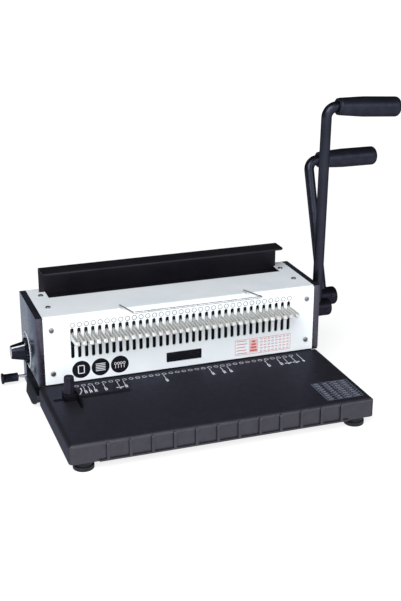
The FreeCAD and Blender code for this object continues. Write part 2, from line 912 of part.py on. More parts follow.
def punch_shaft():
    return rod_x(shaft_left, punch_arm_x + hub_beyond - 6, punch_shaft_y, punch_shaft_z, shaft_radius)


def bind_shaft():
    return rod_x(shaft_left, bind_arm_x + hub_beyond - 6, bind_shaft_y, bind_shaft_z, shaft_radius)


def bush(side, y, z):
    x0, x1 = span(side, frame_in - 2, frame_in)
    outer = panel_out + 1.2 if side > 0 else body_half + 3.0
    ring = rod_x(x0, x1, y, z, bush_flange)
    x0, x1 = span(side, frame_in, outer)
    ring = ring.fuse(rod_x(x0, x1, y, z, bush_radius)).removeSplitter()
    x0, x1 = span(side, frame_in - 3, outer + 1)
    return ring.cut(rod_x(x0, x1, y, z, shaft_radius + fit))


def shaft_bushes():
    out = []
    for side in (-1, 1):
        out.append(bush(side, punch_shaft_y, punch_shaft_z))
        out.append(bush(side, bind_shaft_y, bind_shaft_z))
    return Part.makeCompound(out)


def crank(x0, x1, pin0, pin1, offset, pin):
    """A flat crank arm on the rear shaft with a pin along X at its end."""
    y = bind_shaft_y - offset * math.cos(bind_half)
    z = pin_height(offset)
    eye = pin + 1.4
    axis = FreeCAD.Vector(0, -math.cos(bind_half), math.sin(bind_half))
    across = FreeCAD.Vector(0, math.sin(bind_half), math.cos(bind_half))
    centre = FreeCAD.Vector(x0, bind_shaft_y, bind_shaft_z)
    tip = centre + axis * offset
    corners = [centre + across * 10, tip + across * eye, tip - across * eye, centre - across * 10]
    web = Part.Face(Part.makePolygon(corners + corners[:1])).extrude(FreeCAD.Vector(x1 - x0, 0, 0))
    boss = rod_x(x0, x1, bind_shaft_y, bind_shaft_z, 11.5)
    shape = joined(boss, [web, rod_x(x0, x1, y, z, eye), rod_x(pin0, pin1, y, z, pin)])
    return shape.cut(rod_x(x0 - 1, x1 + 1, bind_shaft_y, bind_shaft_z, shaft_radius + fit / 2))


def hook_crank(side):
    x0, x1 = span(side, hook_bracket_in - 5.5, hook_bracket_in - 0.5)
    pin0, pin1 = span(side, hook_bracket_in - 1, hook_bracket_out + 0.3)
    return crank(x0, x1, pin0, pin1, hook_offset, hook_pin_radius)


def hook_cranks():
    return both_sides(hook_crank)


def closing_crank(side):
    x0, x1 = span(side, closing_bracket_out + 0.6, closing_bracket_out + 5.6)
    pin0, pin1 = span(side, closing_bracket_in - 0.2, closing_bracket_out + 1)
    return crank(x0, x1, pin0, pin1, crank_offset, crank_pin_radius)


def closing_cranks():
    return both_sides(closing_crank)


def lean_point(y, z, angle, distance):
    a = math.radians(angle)
    return y + distance * math.sin(a), z + distance * math.cos(a)


def lever_hub(x, y, z, lean, radius):
    x0 = x - arm_in_hub
    x1 = x + hub_beyond
    body = rod_x(x0, x1, y, z, radius)
    ends = [e for e in body.Edges if abs(e.BoundBox.XMin - e.BoundBox.XMax) < 1e-6]
    far = [e for e in ends if abs(e.BoundBox.XMax - x1) < 1e-6]
    body = body.makeFillet(3.5, far)
    cutters = [rod_x(x0 - 1, x1 - 5.8, y, z, shaft_radius + fit / 2)]
    a = math.radians(lean)
    up = FreeCAD.Vector(0, math.sin(a), math.cos(a))
    centre = FreeCAD.Vector(x, y, z)
    cutters.append(Part.makeCylinder(arm_radius + fit / 2, 20, centre, up))
    ahead = FreeCAD.Vector(0, -math.cos(a), math.sin(a))
    screw_from = FreeCAD.Vector(x + 10.5, y, z)
    cutters.append(Part.makeCylinder(2.0 + fit, 20, screw_from, ahead))
    return without(body, cutters)


def set_screw(x, y, z, lean, radius):
    a = math.radians(lean)
    ahead = FreeCAD.Vector(0, -math.cos(a), math.sin(a))
    start = FreeCAD.Vector(x + 10.5, y, z) + ahead * (shaft_radius + 0.2)
    body = Part.makeCylinder(2.0, radius - shaft_radius + 1.0, start, ahead)
    end = start + ahead * (radius - shaft_radius - 1.0)
    return body.cut(Part.makeCylinder(1.0, 3, end, ahead))


def lever_arm(x, y, z, lean, length, droop):
    foot_y, foot_z = lean_point(y, z, lean, shaft_radius + 0.4)
    top_y, top_z = lean_point(y, z, lean, length)
    a = math.radians(droop)
    run = arm_bend + 0.5 + grip_length - 8
    down = run * math.sin(a)
    end_y, end_z = lean_point(y, z, lean, length - down)
    points = [FreeCAD.Vector(x, foot_y, foot_z), FreeCAD.Vector(x, top_y, top_z),
              FreeCAD.Vector(x + run * math.cos(a), end_y, end_z)]
    return swept_rod(points, arm_bend, arm_radius)


def lever_grip(x, y, z, lean, length, droop):
    n = grip_neck
    r = grip_radius
    inner = arm_radius + fit / 2
    long = grip_length
    flat = [(inner, 0), (n - 0.8, 0), (n, 0.8), (n, 2.5), (n + 0.4, 3.4), (r - 0.5, long * 0.3),
            (r, long * 0.42), (r, long - 6)]
    edges = []
    points = [FreeCAD.Vector(h, radius, 0) for radius, h in flat]
    for a, b in zip(points, points[1:]):
        edges.append(Part.LineSegment(a, b).toShape())
    round_centre = FreeCAD.Vector(long - 6, r - 6, 0)
    mid = round_centre + FreeCAD.Vector(6 * math.sin(math.pi / 4), 6 * math.cos(math.pi / 4), 0)
    tip = FreeCAD.Vector(long, r - 6, 0)
    edges.append(Part.Arc(points[-1], mid, tip).toShape())
    centre = FreeCAD.Vector(long, 0, 0)
    floor = FreeCAD.Vector(long - 7.5, 0, 0)
    floor_side = FreeCAD.Vector(long - 7.5, inner, 0)
    edges.append(Part.LineSegment(tip, centre).toShape())
    edges.append(Part.LineSegment(centre, floor).toShape())
    edges.append(Part.LineSegment(floor, floor_side).toShape())
    edges.append(Part.LineSegment(floor_side, points[0]).toShape())
    face = Part.Face(Part.Wire(edges))
    shape = face.revolve(FreeCAD.Vector(0, 0, 0), FreeCAD.Vector(1, 0, 0), 360)
    shape.translate(FreeCAD.Vector(arm_bend + 0.6, 0, 0))
    shape.rotate(FreeCAD.Vector(0, 0, 0), FreeCAD.Vector(0, 1, 0), droop)
    shape.translate(FreeCAD.Vector(0, 0, length))
    shape.rotate(FreeCAD.Vector(0, 0, 0), FreeCAD.Vector(1, 0, 0), -lean)
    shape.translate(FreeCAD.Vector(x, y, z))
    return shape


def punch_hub():
    return lever_hub(punch_arm_x, punch_shaft_y, punch_shaft_z, punch_arm_lean, punch_hub_radius)


def punch_set_screw():
    return set_screw(punch_arm_x, punch_shaft_y, punch_shaft_z, punch_arm_lean, punch_hub_radius)


def punch_arm():
    return lever_arm(punch_arm_x, punch_shaft_y, punch_shaft_z, punch_arm_lean, punch_arm_length,
                     punch_grip_droop)


def punch_grip():
    return lever_grip(punch_arm_x, punch_shaft_y, punch_shaft_z, punch_arm_lean, punch_arm_length,
                      punch_grip_droop)


def bind_hub():
    return lever_hub(bind_arm_x, bind_shaft_y, bind_shaft_z, bind_arm_lean, bind_hub_radius)


def bind_set_screw():
    return set_screw(bind_arm_x, bind_shaft_y, bind_shaft_z, bind_arm_lean, bind_hub_radius)


def bind_arm():
    return lever_arm(bind_arm_x, bind_shaft_y, bind_shaft_z, bind_arm_lean, bind_arm_length, 0.0)


def bind_grip():
    return lever_grip(bind_arm_x, bind_shaft_y, bind_shaft_z, bind_arm_lean, bind_arm_length, 0.0)


# Closing bar and its anvil


def closing_bar():
    outer = box(-closing_half, closing_half, closing_front, closing_back, closing_low, closing_top)
    outer = rounded(outer, 0, [(closing_back, closing_top)], closing_thick + 0.5)
    inner = box(-closing_half - 1, closing_half + 1, closing_front - 1, web_front, closing_low - 1,
                closing_top - closing_thick)
    corners = [(-closing_half, closing_front), (closing_half, closing_front)]
    return rounded(outer.cut(inner), 2, corners, closing_corner)


def closing_bracket(side):
    x0, x1 = span(side, closing_bracket_in, closing_bracket_out)
    bar_high = bind_shaft_z - shaft_radius - 2
    top = pin_height(crank_offset) + crank_pin_radius + 7
    post = plate_x(x0, x1, fork_post(crank_offset, crank_pin_radius, closing_low, top, 0.6))
    bar = box(x0, x1, bind_shaft_y - shaft_radius - 2, web_front, closing_low, bar_high)
    spine_top = anvil_top - anvil_thick - 3
    spine = box(x0, x1, bind_shaft_y + shaft_radius + 1.6, web_front, closing_low, spine_top)
    return joined(post, [bar, spine])


def closing_brackets():
    return both_sides(closing_bracket)


def bar_guide(side):
    x0, x1 = span(side, closing_bracket_out + 0.4, frame_in)
    block = box(x0, x1, web_front - 4, closing_back + 4, strip_top + 6.5, anvil_top - anvil_thick - 1)
    groove_in = closing_bracket_out - 1
    x0, x1 = span(side, groove_in, closing_half + 0.5)
    return block.cut(box(x0, x1, web_front - loose, closing_back + loose, 0, body_top))


def bar_guides():
    return both_sides(bar_guide)


def anvil():
    half = frame_in - touch
    return box(-half, half, closing_front + 1.5, web_front - 2, anvil_top - anvil_thick, anvil_top)


# Dial, pull rod, tray and edge guide


def dial_shaft():
    near = -closing_bracket_out - 1.0
    bar = rod_x(-panel_out - dial_bore, near, dial_y, dial_z, dial_shaft_radius)
    cam = rod_x(near - 4.6, near, dial_y + 2.0, dial_z - 1.5, 7.5)
    return bar.fuse(cam).removeSplitter()


def dial_knob():
    skirt_out = -panel_out - 3.3
    end = -panel_out - dial_reach
    skirt = rod_x(skirt_out, -panel_out - loose, dial_y, dial_z, dial_skirt)
    grip = Part.makeCone(dial_grip, dial_grip_root, skirt_out - end, FreeCAD.Vector(end, dial_y, dial_z),
                         FreeCAD.Vector(1, 0, 0))
    shape = skirt.fuse(grip).removeSplitter()
    cutters = [rod_x(-panel_out - dial_bore, -panel_out + 1, dial_y, dial_z, dial_shaft_radius + fit / 2)]
    for i in range(dial_notches):
        a = math.tau * (i + 0.5) / dial_notches
        y = dial_y + (dial_skirt + 2.2) * math.cos(a)
        z = dial_z + (dial_skirt + 2.2) * math.sin(a)
        cutters.append(rod_x(skirt_out - 1, -panel_out, y, z, 4.0))
    return without(shape, cutters)


def selector_rod():
    left = -panel_out - selector_inner - selector_held
    return rod_x(left, -flange_in + selector_inside, selector_y, selector_z, selector_radius)


def selector_knob():
    inner = -panel_out - selector_inner
    outer = inner - selector_length
    step = outer + selector_flange_thick
    grip = rod_x(step, inner, selector_y, selector_z, selector_grip)
    disc = rod_x(outer, step, selector_y, selector_z, selector_flange)
    shape = grip.fuse(disc).removeSplitter()
    left = inner - selector_held
    return shape.cut(rod_x(left, inner + 1, selector_y, selector_z, selector_radius + fit / 2))


def rod_clip():
    far = -frame_in + selector_travel + 0.6
    ring = rod_x(far, far + 1.4, selector_y, selector_z, selector_radius + 1.5)
    return ring.cut(rod_x(far - 1, far + 3, selector_y, selector_z, selector_radius + fit / 2))


def tray_handle(x, y0, y1, low, high):
    """The end plate of the tray, which flares out towards its lower edge."""
    wires = []
    for z, flare, front, back in ((low, tray_flare, 16.0, 14.0), (high, 0.2, 6.0, 4.0)):
        corners = [FreeCAD.Vector(x + 1, y0, z), FreeCAD.Vector(x - flare, y0 + front, z),
                   FreeCAD.Vector(x - flare, y1 - back, z), FreeCAD.Vector(x + 1, y1, z)]
        wires.append(Part.makePolygon(corners + corners[:1]))
    plate = Part.makeLoft(wires, True, True)
    return plate.common(plate_x(x - tray_flare - 1, x + 2, tray_outline(y0, y1, low, high)))


def tray_outline(y0, y1, low, high):
    """The tray seen from its end, with its two lower corners cut off."""
    return [(y0, high), (y0, low + tray_cut_z), (y0 + tray_cut_y, low), (y1 - tray_cut_y, low),
            (y1, low + tray_cut_z), (y1, high)]


def chip_tray():
    x0 = -panel_out - 1.7
    x1 = frame_in - 5
    y1 = tray_front + tray_depth
    low = pan_low + sheet + loose
    outer = plate_x(x0, x1, tray_outline(tray_front, y1, low, tray_high))
    hollow = tray_outline(tray_front + tray_wall, y1 - tray_wall, low + tray_wall, tray_high + 1)
    inner = plate_x(x0 + 2, x1 - tray_wall, hollow)
    handle = tray_handle(x0, tray_front, y1, pan_low + loose, tray_high)
    return outer.fuse(handle).cut(inner).removeSplitter()


def edge_guide():
    x0 = guide_x - 7.5
    x1 = guide_x + 7.5
    back = guide_slot_y + 8
    low = table_top + touch
    block = box(x0, x1, guide_slot_y - 8, back, low, guide_top)
    fence = box(x1 - 0.6, x1 + 1.4, guide_slot_y - 29.7, back, low, guide_top + 2)
    shape = block.fuse(fence).removeSplitter()
    return shape.cut(rod_z(low - 1, guide_top + 3, guide_x, guide_slot_y, 3.0 + fit))


def edge_nut():
    top = table_top - table_wall - touch
    nut = box(guide_x - 6, guide_x + 6, guide_slot_y - 6, guide_slot_y + 6, top - 4.5, top)
    return nut.cut(rod_z(top - 6, top + 1, guide_x, guide_slot_y, 3.0 + fit))


def edge_knob():
    low = guide_top + touch
    top = low + guide_knob_high
    foot_point = FreeCAD.Vector(guide_x, guide_slot_y, low)
    grip = Part.makeCone(guide_knob_low, guide_knob_top, guide_knob_high, foot_point)
    rims = [e for e in grip.Edges if abs(e.BoundBox.ZMin - top) < 1e-6]
    grip = grip.makeFillet(0.8, rims)
    grip = grip.cut(rod_z(top - 0.8, top + 1, guide_x, guide_slot_y, guide_knob_top - 1.8))
    stud = rod_z(table_top - table_wall - 6.5, low + 1, guide_x, guide_slot_y, 3.0)
    return grip.fuse(stud).removeSplitter()


pieces = {
    "table": table, "feet": feet, "foot_screws": foot_screws, "pan": pan, "table_screws": table_screws,
    "left_panel": left_panel, "right_panel": right_panel, "left_frame": left_frame,
    "right_frame": right_frame, "panel_screws": panel_screws, "tie_rods": tie_rods, "cover": cover,
    "cover_screws": cover_screws, "back_cover": back_cover, "back_screws": back_screws, "badge": badge,
    "wire_bail": wire_bail, "bail_collars": bail_collars, "finger_rack": finger_rack,
    "rack_screws": rack_screws, "hook_rack": hook_rack, "hook_brackets": hook_brackets,
    "die_plate": die_plate, "paper_stop": paper_stop, "stripper": stripper, "die_screws": die_screws,
    "guide_posts": guide_posts, "punch_bar": punch_bar, "punch_cap": punch_cap, "punches": punches,
    "punch_yokes": punch_yokes, "yoke_screws": yoke_screws, "punch_shaft": punch_shaft,
    "punch_cams": punch_cams, "punch_hub": punch_hub, "punch_arm": punch_arm, "punch_grip": punch_grip,
    "punch_set_screw": punch_set_screw, "bind_shaft": bind_shaft, "hook_cranks": hook_cranks,
    "closing_cranks": closing_cranks, "bind_hub": bind_hub, "bind_arm": bind_arm, "bind_grip": bind_grip,
    "bind_set_screw": bind_set_screw, "shaft_bushes": shaft_bushes, "closing_bar": closing_bar,
    "closing_brackets": closing_brackets, "bar_guides": bar_guides, "anvil": anvil,
    "dial_shaft": dial_shaft, "dial_knob": dial_knob, "selector_rod": selector_rod,
    "selector_knob": selector_knob, "rod_clip": rod_clip, "chip_tray": chip_tray,
    "edge_guide": edge_guide, "edge_nut": edge_nut, "edge_knob": edge_knob,
}

shapes = {name: make() for name, make in pieces.items()}

# Put the origin under the middle of everything, on the floor
limits = Part.makeCompound(list(shapes.values())).BoundBox
middle = FreeCAD.Vector((limits.XMin + limits.XMax) / 2, (limits.YMin + limits.YMax) / 2, limits.ZMin)

os.makedirs("parts", exist_ok=True)
for name, shape in shapes.items():
    shape.translate(middle * -1)
    shape.exportStep("parts/" + name + ".step")
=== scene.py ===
import json
import math

import bmesh
import bpy
from mathutils import Matrix, Vector


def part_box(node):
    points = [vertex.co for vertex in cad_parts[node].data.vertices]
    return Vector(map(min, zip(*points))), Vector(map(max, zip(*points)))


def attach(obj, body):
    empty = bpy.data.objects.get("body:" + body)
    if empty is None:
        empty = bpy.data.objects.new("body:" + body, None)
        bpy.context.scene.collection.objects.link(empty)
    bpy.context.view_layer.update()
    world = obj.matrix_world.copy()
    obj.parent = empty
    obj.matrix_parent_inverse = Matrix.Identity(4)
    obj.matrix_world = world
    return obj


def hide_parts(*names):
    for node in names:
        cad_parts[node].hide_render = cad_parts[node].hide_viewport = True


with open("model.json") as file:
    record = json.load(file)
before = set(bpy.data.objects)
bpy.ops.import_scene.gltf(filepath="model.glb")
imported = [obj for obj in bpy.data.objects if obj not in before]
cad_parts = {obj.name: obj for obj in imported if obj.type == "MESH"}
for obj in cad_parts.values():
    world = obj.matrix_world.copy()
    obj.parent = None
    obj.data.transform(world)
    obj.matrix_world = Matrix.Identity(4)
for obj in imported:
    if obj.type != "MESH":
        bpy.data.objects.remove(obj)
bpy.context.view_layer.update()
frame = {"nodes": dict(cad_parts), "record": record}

# Sizes in millimetres. On the machine X 0 is the middle of the cover, Y 0 its front
# and Z 0 the floor. X runs towards the levers and Y towards the back.
MM = 0.001

# Meshes: points closer than the weld, in metres, are one point
WELD = 1e-6
FLAT_DEGREES = 0.4
EDGE_DEGREES = 28.0
SHARP_DEGREES = 30.0

# Hole row
HOLE_PITCH = 25.4 / 3
HOLE_COUNT = 34

# Prints on the cover
INK_THICK = 0.05
INK_SUNK = 0.03
SLOT_RING_Z = 110.4
SLOT_RING_RADIUS = 3.05
SLOT_RING_LINE = 0.62
SLOT_RING_SHIFT = 0.7
DISC_X = (-130.3, -106.4, -82.4)
DISC_Z = 52.0
DISC_RADIUS = 11.2
CHART_LEFT = 68.0
CHART_RIGHT = 143.2
CHART_LOW = 41.6
CHART_HIGH = 62.2
CHART_BLOCK_LEFT = 86.7
CHART_BLOCK_RIGHT = 99.0
CHART_ROWS = 5
CHART_COLUMNS = 8

# Prints on the table
TABLE_RING_Y = -10.6
TABLE_RING_SHIFT = 0.3
TABLE_RING_RADIUS = 2.7
TABLE_RING_LINE = 0.6
LEADER_FRONT = -33.6
LEADER_BACK = -14.0
LEADER_HALF = 0.35
LEADERS_X = (-132.3, -126.4, -120.2, -107.7, -82.7, -31.4, 27.9, 42.6, 51.4, 102.2, 119.0)
SHORT_LEADERS_X = (-90.6, 128.2, 138.7)
EDGE_LEADER_X = 149.2
EDGE_LEADER_BACK = -6.6
BRACKET_LINE = 1.1
BRACKET = ((-143.4, -19.5), (-143.3, -30.5), (-142.2, -34.2), (-140.6, -34.6), (-138.6, -30.7),
           (-136.3, -25.0), (-136.1, -16.8))
GRID_LEFT = 127.8
GRID_RIGHT = 173.6
GRID_BACK = -98.6
GRID_FRONT = -146.2
GRID_ROWS = 9
GRID_COLUMNS = (0.0, 0.3, 0.5, 0.75, 1.0)
# The edge guide's slot. Its edge and depth size the painted shade: a dark border on the table round the slot
# and dark walls down inside it.
GUIDE_SLOT_LEFT = -174.3
GUIDE_SLOT_RIGHT = -80.7
GUIDE_SLOT_Y = -41.9
GUIDE_SLOT_HALF = 3.25
GUIDE_SLOT_SHADE_EDGE = 1.1
GUIDE_SLOT_SHADE_DEEP = 2.9

# Prints round the dial
DIAL_RING_RADIUS = 23.8
DIAL_RING_LINE = 0.9
DIAL_RING_PROUD = 0.7
DIAL_NUMBER_RADIUS = 19.9
DIAL_NUMBER_SIZE = 5.0
DIAL_NUMBER_COUNT = 8
DIAL_NUMBER_START = 205.0
DIAL_NUMBER_STEP = 28.0

# Knobs and screws
DIAL_SKIRT_RADIUS = 16.0
DIAL_GRIP_RADIUS = 8.7
DIAL_GRIP_ROOT = 12.0
DIAL_POINTER_LEAN = 0.55
DIAL_POINTER_HALF = 0.8
EDGE_KNOB_STUD = 2.9
GUIDE_FENCE_PROUD = 2.0
SELECTOR_ROD_RADIUS = 2.55
SCREW_HEAD_HIGH = 1.8
SCREW_HEAD_SUNK = 0.3
SCREW_RADIUS = 1.5
SEAL_FRONT = 0.6
SEAL_BACK = 9.0

# Photograph
PICTURE_HEIGHT = 601
FOCAL_PIXELS = 1094.55
CAMERA_PLACE = (-393.9, -1186.1, 586.9)
CAMERA_TURN = 19.307
CAMERA_DROP = 20.305

# Floor, in metres, and its glow by distance from the machine
FLOOR_HALF = 6.0
FLOOR_DROP = 0.0002
FLOOR_GLOW_SCALE = 0.45
FLOOR_GLOW_START = 0.75
FLOOR_GLOW_NEAR = 0.80
FLOOR_GLOW_FAR = 1.0


# Places of the machine, from the frame

cover_low, cover_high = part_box("cover")
table_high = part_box("table")[1]
panel_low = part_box("left_panel")[0]
dial_low, dial_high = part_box("dial_knob")
zero = Vector(((cover_low.x + cover_high.x) / 2, cover_low.y, 0.0))


def at(x, y, z):
    """A point of the machine in millimetres, as a point of the frame."""
    return zero + Vector((x, y, z)) * MM


def local(point):
    """A point of the frame, in millimetres of the machine."""
    return (Vector(point) - zero) / MM


TABLE_TOP = local(table_high).z
PANEL_OUT = -local(panel_low).x
PANEL_FOOT = local(panel_low).z
COVER_TOP = local(cover_high).z
COVER_END = local(cover_high).x
DIAL_MIDDLE = local((dial_low + dial_high) / 2)


def spread(middle, step, count):
    """Places at equal steps, with the same number on both sides of a middle."""
    return [middle + (i - (count - 1) / 2) * step for i in range(count)]


# Materials


class Surface:
    """A node material under construction. Textures are laid out in the machine's own space."""

    def __init__(self, name, roughness=0.5, metallic=0.0, specular=0.5, tint=(1.0, 1.0, 1.0)):
        self.material = bpy.data.materials.new(name)
        self.material.use_nodes = True
        tree = self.material.node_tree
        self.nodes = tree.nodes
        self.links = tree.links
        self.shader = next(n for n in self.nodes if n.type == "BSDF_PRINCIPLED")
        self.shader.inputs["Roughness"].default_value = roughness
        self.shader.inputs["Metallic"].default_value = metallic
        self.shader.inputs["Specular IOR Level"].default_value = specular
        self.shader.inputs["Specular Tint"].default_value = (*tint, 1.0)
        self.space = self.nodes.new("ShaderNodeTexCoord").outputs["Object"]
        self.relief = None

    def noise(self, size, detail, stretch=(1.0, 1.0, 1.0)):
        """Noise whose patches are about size millimetres wide."""
        mapping = self.nodes.new("ShaderNodeMapping")
        mapping.inputs["Scale"].default_value = stretch
        self.links.new(self.space, mapping.inputs["Vector"])
        texture = self.nodes.new("ShaderNodeTexNoise")
        texture.inputs["Scale"].default_value = 1.0 / (size * MM)
        texture.inputs["Detail"].default_value = detail
        self.links.new(mapping.outputs["Vector"], texture.inputs["Vector"])
        return texture.outputs["Fac"]

    def cells(self, size):
        """Rounded cells about size millimetres wide."""
        texture = self.nodes.new("ShaderNodeTexVoronoi")
        texture.feature = "SMOOTH_F1"
        texture.inputs["Scale"].default_value = 1.0 / (size * MM)
        self.links.new(self.space, texture.inputs["Vector"])
        return texture.outputs["Distance"]

    def colour(self, factor, dark, light):
        """Blends two colours by a factor, over the middle of its range."""
        ramp = self.nodes.new("ShaderNodeValToRGB")
        for element, place, shade in zip(ramp.color_ramp.elements, (0.35, 0.65), (dark, light)):
            element.position = place
            element.color = (*shade, 1.0)
        self.links.new(factor, ramp.inputs["Fac"])
        self.links.new(ramp.outputs["Color"], self.shader.inputs["Base Color"])

    def remapped(self, factor, source, target):
        """A factor whose source range is stretched to the target range."""
        node = self.nodes.new("ShaderNodeMapRange")
        node.inputs["From Min"].default_value = source[0]
        node.inputs["From Max"].default_value = source[1]
        node.inputs["To Min"].default_value = target[0]
        node.inputs["To Max"].default_value = target[1]
        self.links.new(factor, node.inputs["Value"])
        return node.outputs["Result"]

    def roughness(self, factor, low, high):
        result = self.remapped(factor, (0.3, 0.7), (low, high))
        self.links.new(result, self.shader.inputs["Roughness"])

    def bump(self, factor, depth):
        """Relief of the given depth in millimetres, on top of what relief there is."""
        node = self.nodes.new("ShaderNodeBump")
        node.inputs["Distance"].default_value = depth * MM
        self.links.new(factor, node.inputs["Height"])
        if self.relief is not None:
            self.links.new(self.relief, node.inputs["Normal"])
        self.relief = node.outputs["Normal"]
        self.links.new(self.relief, self.shader.inputs["Normal"])


NEUTRAL = (1.0, 1.0, 1.0)
COOL = (0.80, 0.88, 1.0)


def moulded_plastic(name, dark, light, grain, depth, rough, specular=0.5, tint=COOL, metallic=0.0):
    """Plastic with a fine moulded grain of the given width and depth."""
    surface = Surface(name, metallic=metallic, specular=specular, tint=tint)
    surface.colour(surface.noise(size=9.0, detail=4.0), dark, light)
    surface.roughness(surface.noise(size=2.5, detail=3.0), rough - 0.04, rough + 0.05)
    surface.bump(surface.cells(grain), depth)
    surface.bump(surface.noise(size=30.0, detail=2.0), depth * 0.6)
    return surface.material


def painted_sheet(name, dark, light, rough, peel, specular=0.5, tint=NEUTRAL, metallic=0.0):
    """Powder coated sheet, whose coat waves by the depth of its peel."""
    surface = Surface(name, metallic=metallic, specular=specular, tint=tint)
    surface.colour(surface.noise(size=40.0, detail=3.0), dark, light)
    surface.roughness(surface.noise(size=3.0, detail=3.0), rough - 0.05, rough + 0.06)
    surface.bump(surface.noise(size=1.4, detail=2.0), peel)
    return surface.material


def metal(name, dark, light, rough, size, stretch=(1.0, 1.0, 1.0), scratch=0.01, metallic=1.0):
    """Bare or plated metal, with streaks of the given size and stretch."""
    surface = Surface(name, metallic=metallic)
    surface.colour(surface.noise(size, 4.0, stretch), dark, light)
    surface.roughness(surface.noise(size / 2, 4.0, stretch), rough - 0.08, rough + 0.1)
    surface.bump(surface.noise(size / 12, 3.0, stretch), scratch)
    return surface.material


def ink(name, dark, light, specular=0.3):
    """Printing ink, slightly uneven."""
    surface = Surface(name, specular=specular)
    surface.colour(surface.noise(size=1.2, detail=3.0), dark, light)
    surface.roughness(surface.noise(size=0.8, detail=2.0), 0.42, 0.6)
    surface.bump(surface.noise(size=0.5, detail=2.0), 0.01)
    return surface.material


slot_finish = {
    "table_plastic": moulded_plastic(
        "table_grain", dark=(0.058, 0.056, 0.068), light=(0.066, 0.064, 0.077), grain=0.9, depth=0.02,
        rough=0.42, specular=0.42, tint=(0.08, 0.16, 0.28), metallic=0.8),
    "panel_plastic": moulded_plastic(
        "panel_satin", dark=(0.058, 0.055, 0.074), light=(0.072, 0.068, 0.090), grain=1.6, depth=0.010,
        rough=0.27, tint=(0.55, 0.63, 0.76), metallic=0.85),
    "grip_plastic": moulded_plastic(
        "grip_satin", dark=(0.022, 0.024, 0.036), light=(0.029, 0.031, 0.045), grain=0.7, depth=0.018,
        rough=0.40, specular=0.4, tint=(0.12, 0.14, 0.20), metallic=0.8),
    "black_steel": painted_sheet(
        "black_powder_coat", dark=(0.0055, 0.0060, 0.0105), light=(0.0085, 0.0092, 0.0150),
        rough=0.42, peel=0.025, specular=0.35, tint=COOL),
    "white_steel": painted_sheet(
        "white_powder_coat", dark=(0.80, 0.85, 0.885), light=(0.85, 0.895, 0.925), rough=0.38, peel=0.02),
    "badge_black": moulded_plastic(
        "badge_gloss", dark=(0.006, 0.006, 0.008), light=(0.009, 0.009, 0.012), grain=3.0, depth=0.004,
        rough=0.18),
    "zinc_steel": metal(
        "zinc_plate", dark=(0.50, 0.51, 0.53), light=(0.66, 0.67, 0.69), rough=0.34, size=3.0,
        metallic=0.8),
    "tool_steel": metal(
        "ground_steel", dark=(0.30, 0.30, 0.31), light=(0.46, 0.46, 0.47), rough=0.32, size=4.0,
        stretch=(0.15, 1.0, 1.0)),
    "finger_steel": metal(
        "plated_sheet", dark=(0.62, 0.62, 0.61), light=(0.78, 0.78, 0.77), rough=0.34, size=5.0,
        metallic=0.35),
    "bright_wire": metal(
        "bright_wire", dark=(0.55, 0.56, 0.59), light=(0.74, 0.75, 0.78), rough=0.22, size=8.0,
        scratch=0.003, metallic=0.75),
    "bush_brass": metal(
        "turned_brass", dark=(0.52, 0.36, 0.14), light=(0.72, 0.53, 0.26), rough=0.3, size=2.0),
    "guide_plastic": moulded_plastic(
        "natural_plastic", dark=(0.55, 0.54, 0.49), light=(0.66, 0.65, 0.60), grain=1.2, depth=0.01,
        rough=0.45),
    "foot_rubber": moulded_plastic(
        "foot_rubber", dark=(0.008, 0.008, 0.010), light=(0.014, 0.014, 0.017), grain=0.5, depth=0.03,
        rough=0.6, specular=0.3),
}
white_ink = ink("white_ink", dark=(0.66, 0.68, 0.72), light=(0.80, 0.81, 0.84))
scale_ink = ink("scale_ink", dark=(0.52, 0.54, 0.59), light=(0.68, 0.70, 0.75))
pale_ink = ink("pale_ink", dark=(0.40, 0.42, 0.47), light=(0.56, 0.58, 0.63))
# Black ink for the cover's discs, also used as painted shade in and round the edge guide's slot.
dark_ink_and_shade = ink("dark_ink_and_shade", dark=(0.006, 0.006, 0.010), light=(0.010, 0.010, 0.015), specular=0.08)
red_ink = ink("red_ink", dark=(0.50, 0.07, 0.07), light=(0.62, 0.12, 0.11))
ring_ink = ink("ring_ink", dark=(0.030, 0.031, 0.036), light=(0.052, 0.053, 0.062))
grid_ink = ink("grid_ink", dark=(0.20, 0.22, 0.30), light=(0.30, 0.33, 0.42))
rose_ink = ink("rose_ink", dark=(0.74, 0.46, 0.47), light=(0.80, 0.54, 0.55))
knob_finish = moulded_plastic(
    "knob_satin", dark=(0.013, 0.014, 0.021), light=(0.018, 0.020, 0.029), grain=1.2, depth=0.010,
    rough=0.38, specular=0.4, tint=(0.16, 0.19, 0.28), metallic=0.8)
lever_finish = painted_sheet(
    "lever_coat", dark=(0.024, 0.026, 0.038), light=(0.032, 0.034, 0.048), rough=0.33, peel=0.015,
    tint=(0.15, 0.18, 0.26), metallic=0.9)
hub_finish = painted_sheet(
    "hub_coat", dark=(0.015, 0.014, 0.022), light=(0.021, 0.020, 0.029), rough=0.36, peel=0.015,
    specular=0.4, tint=(0.10, 0.11, 0.16), metallic=0.8)
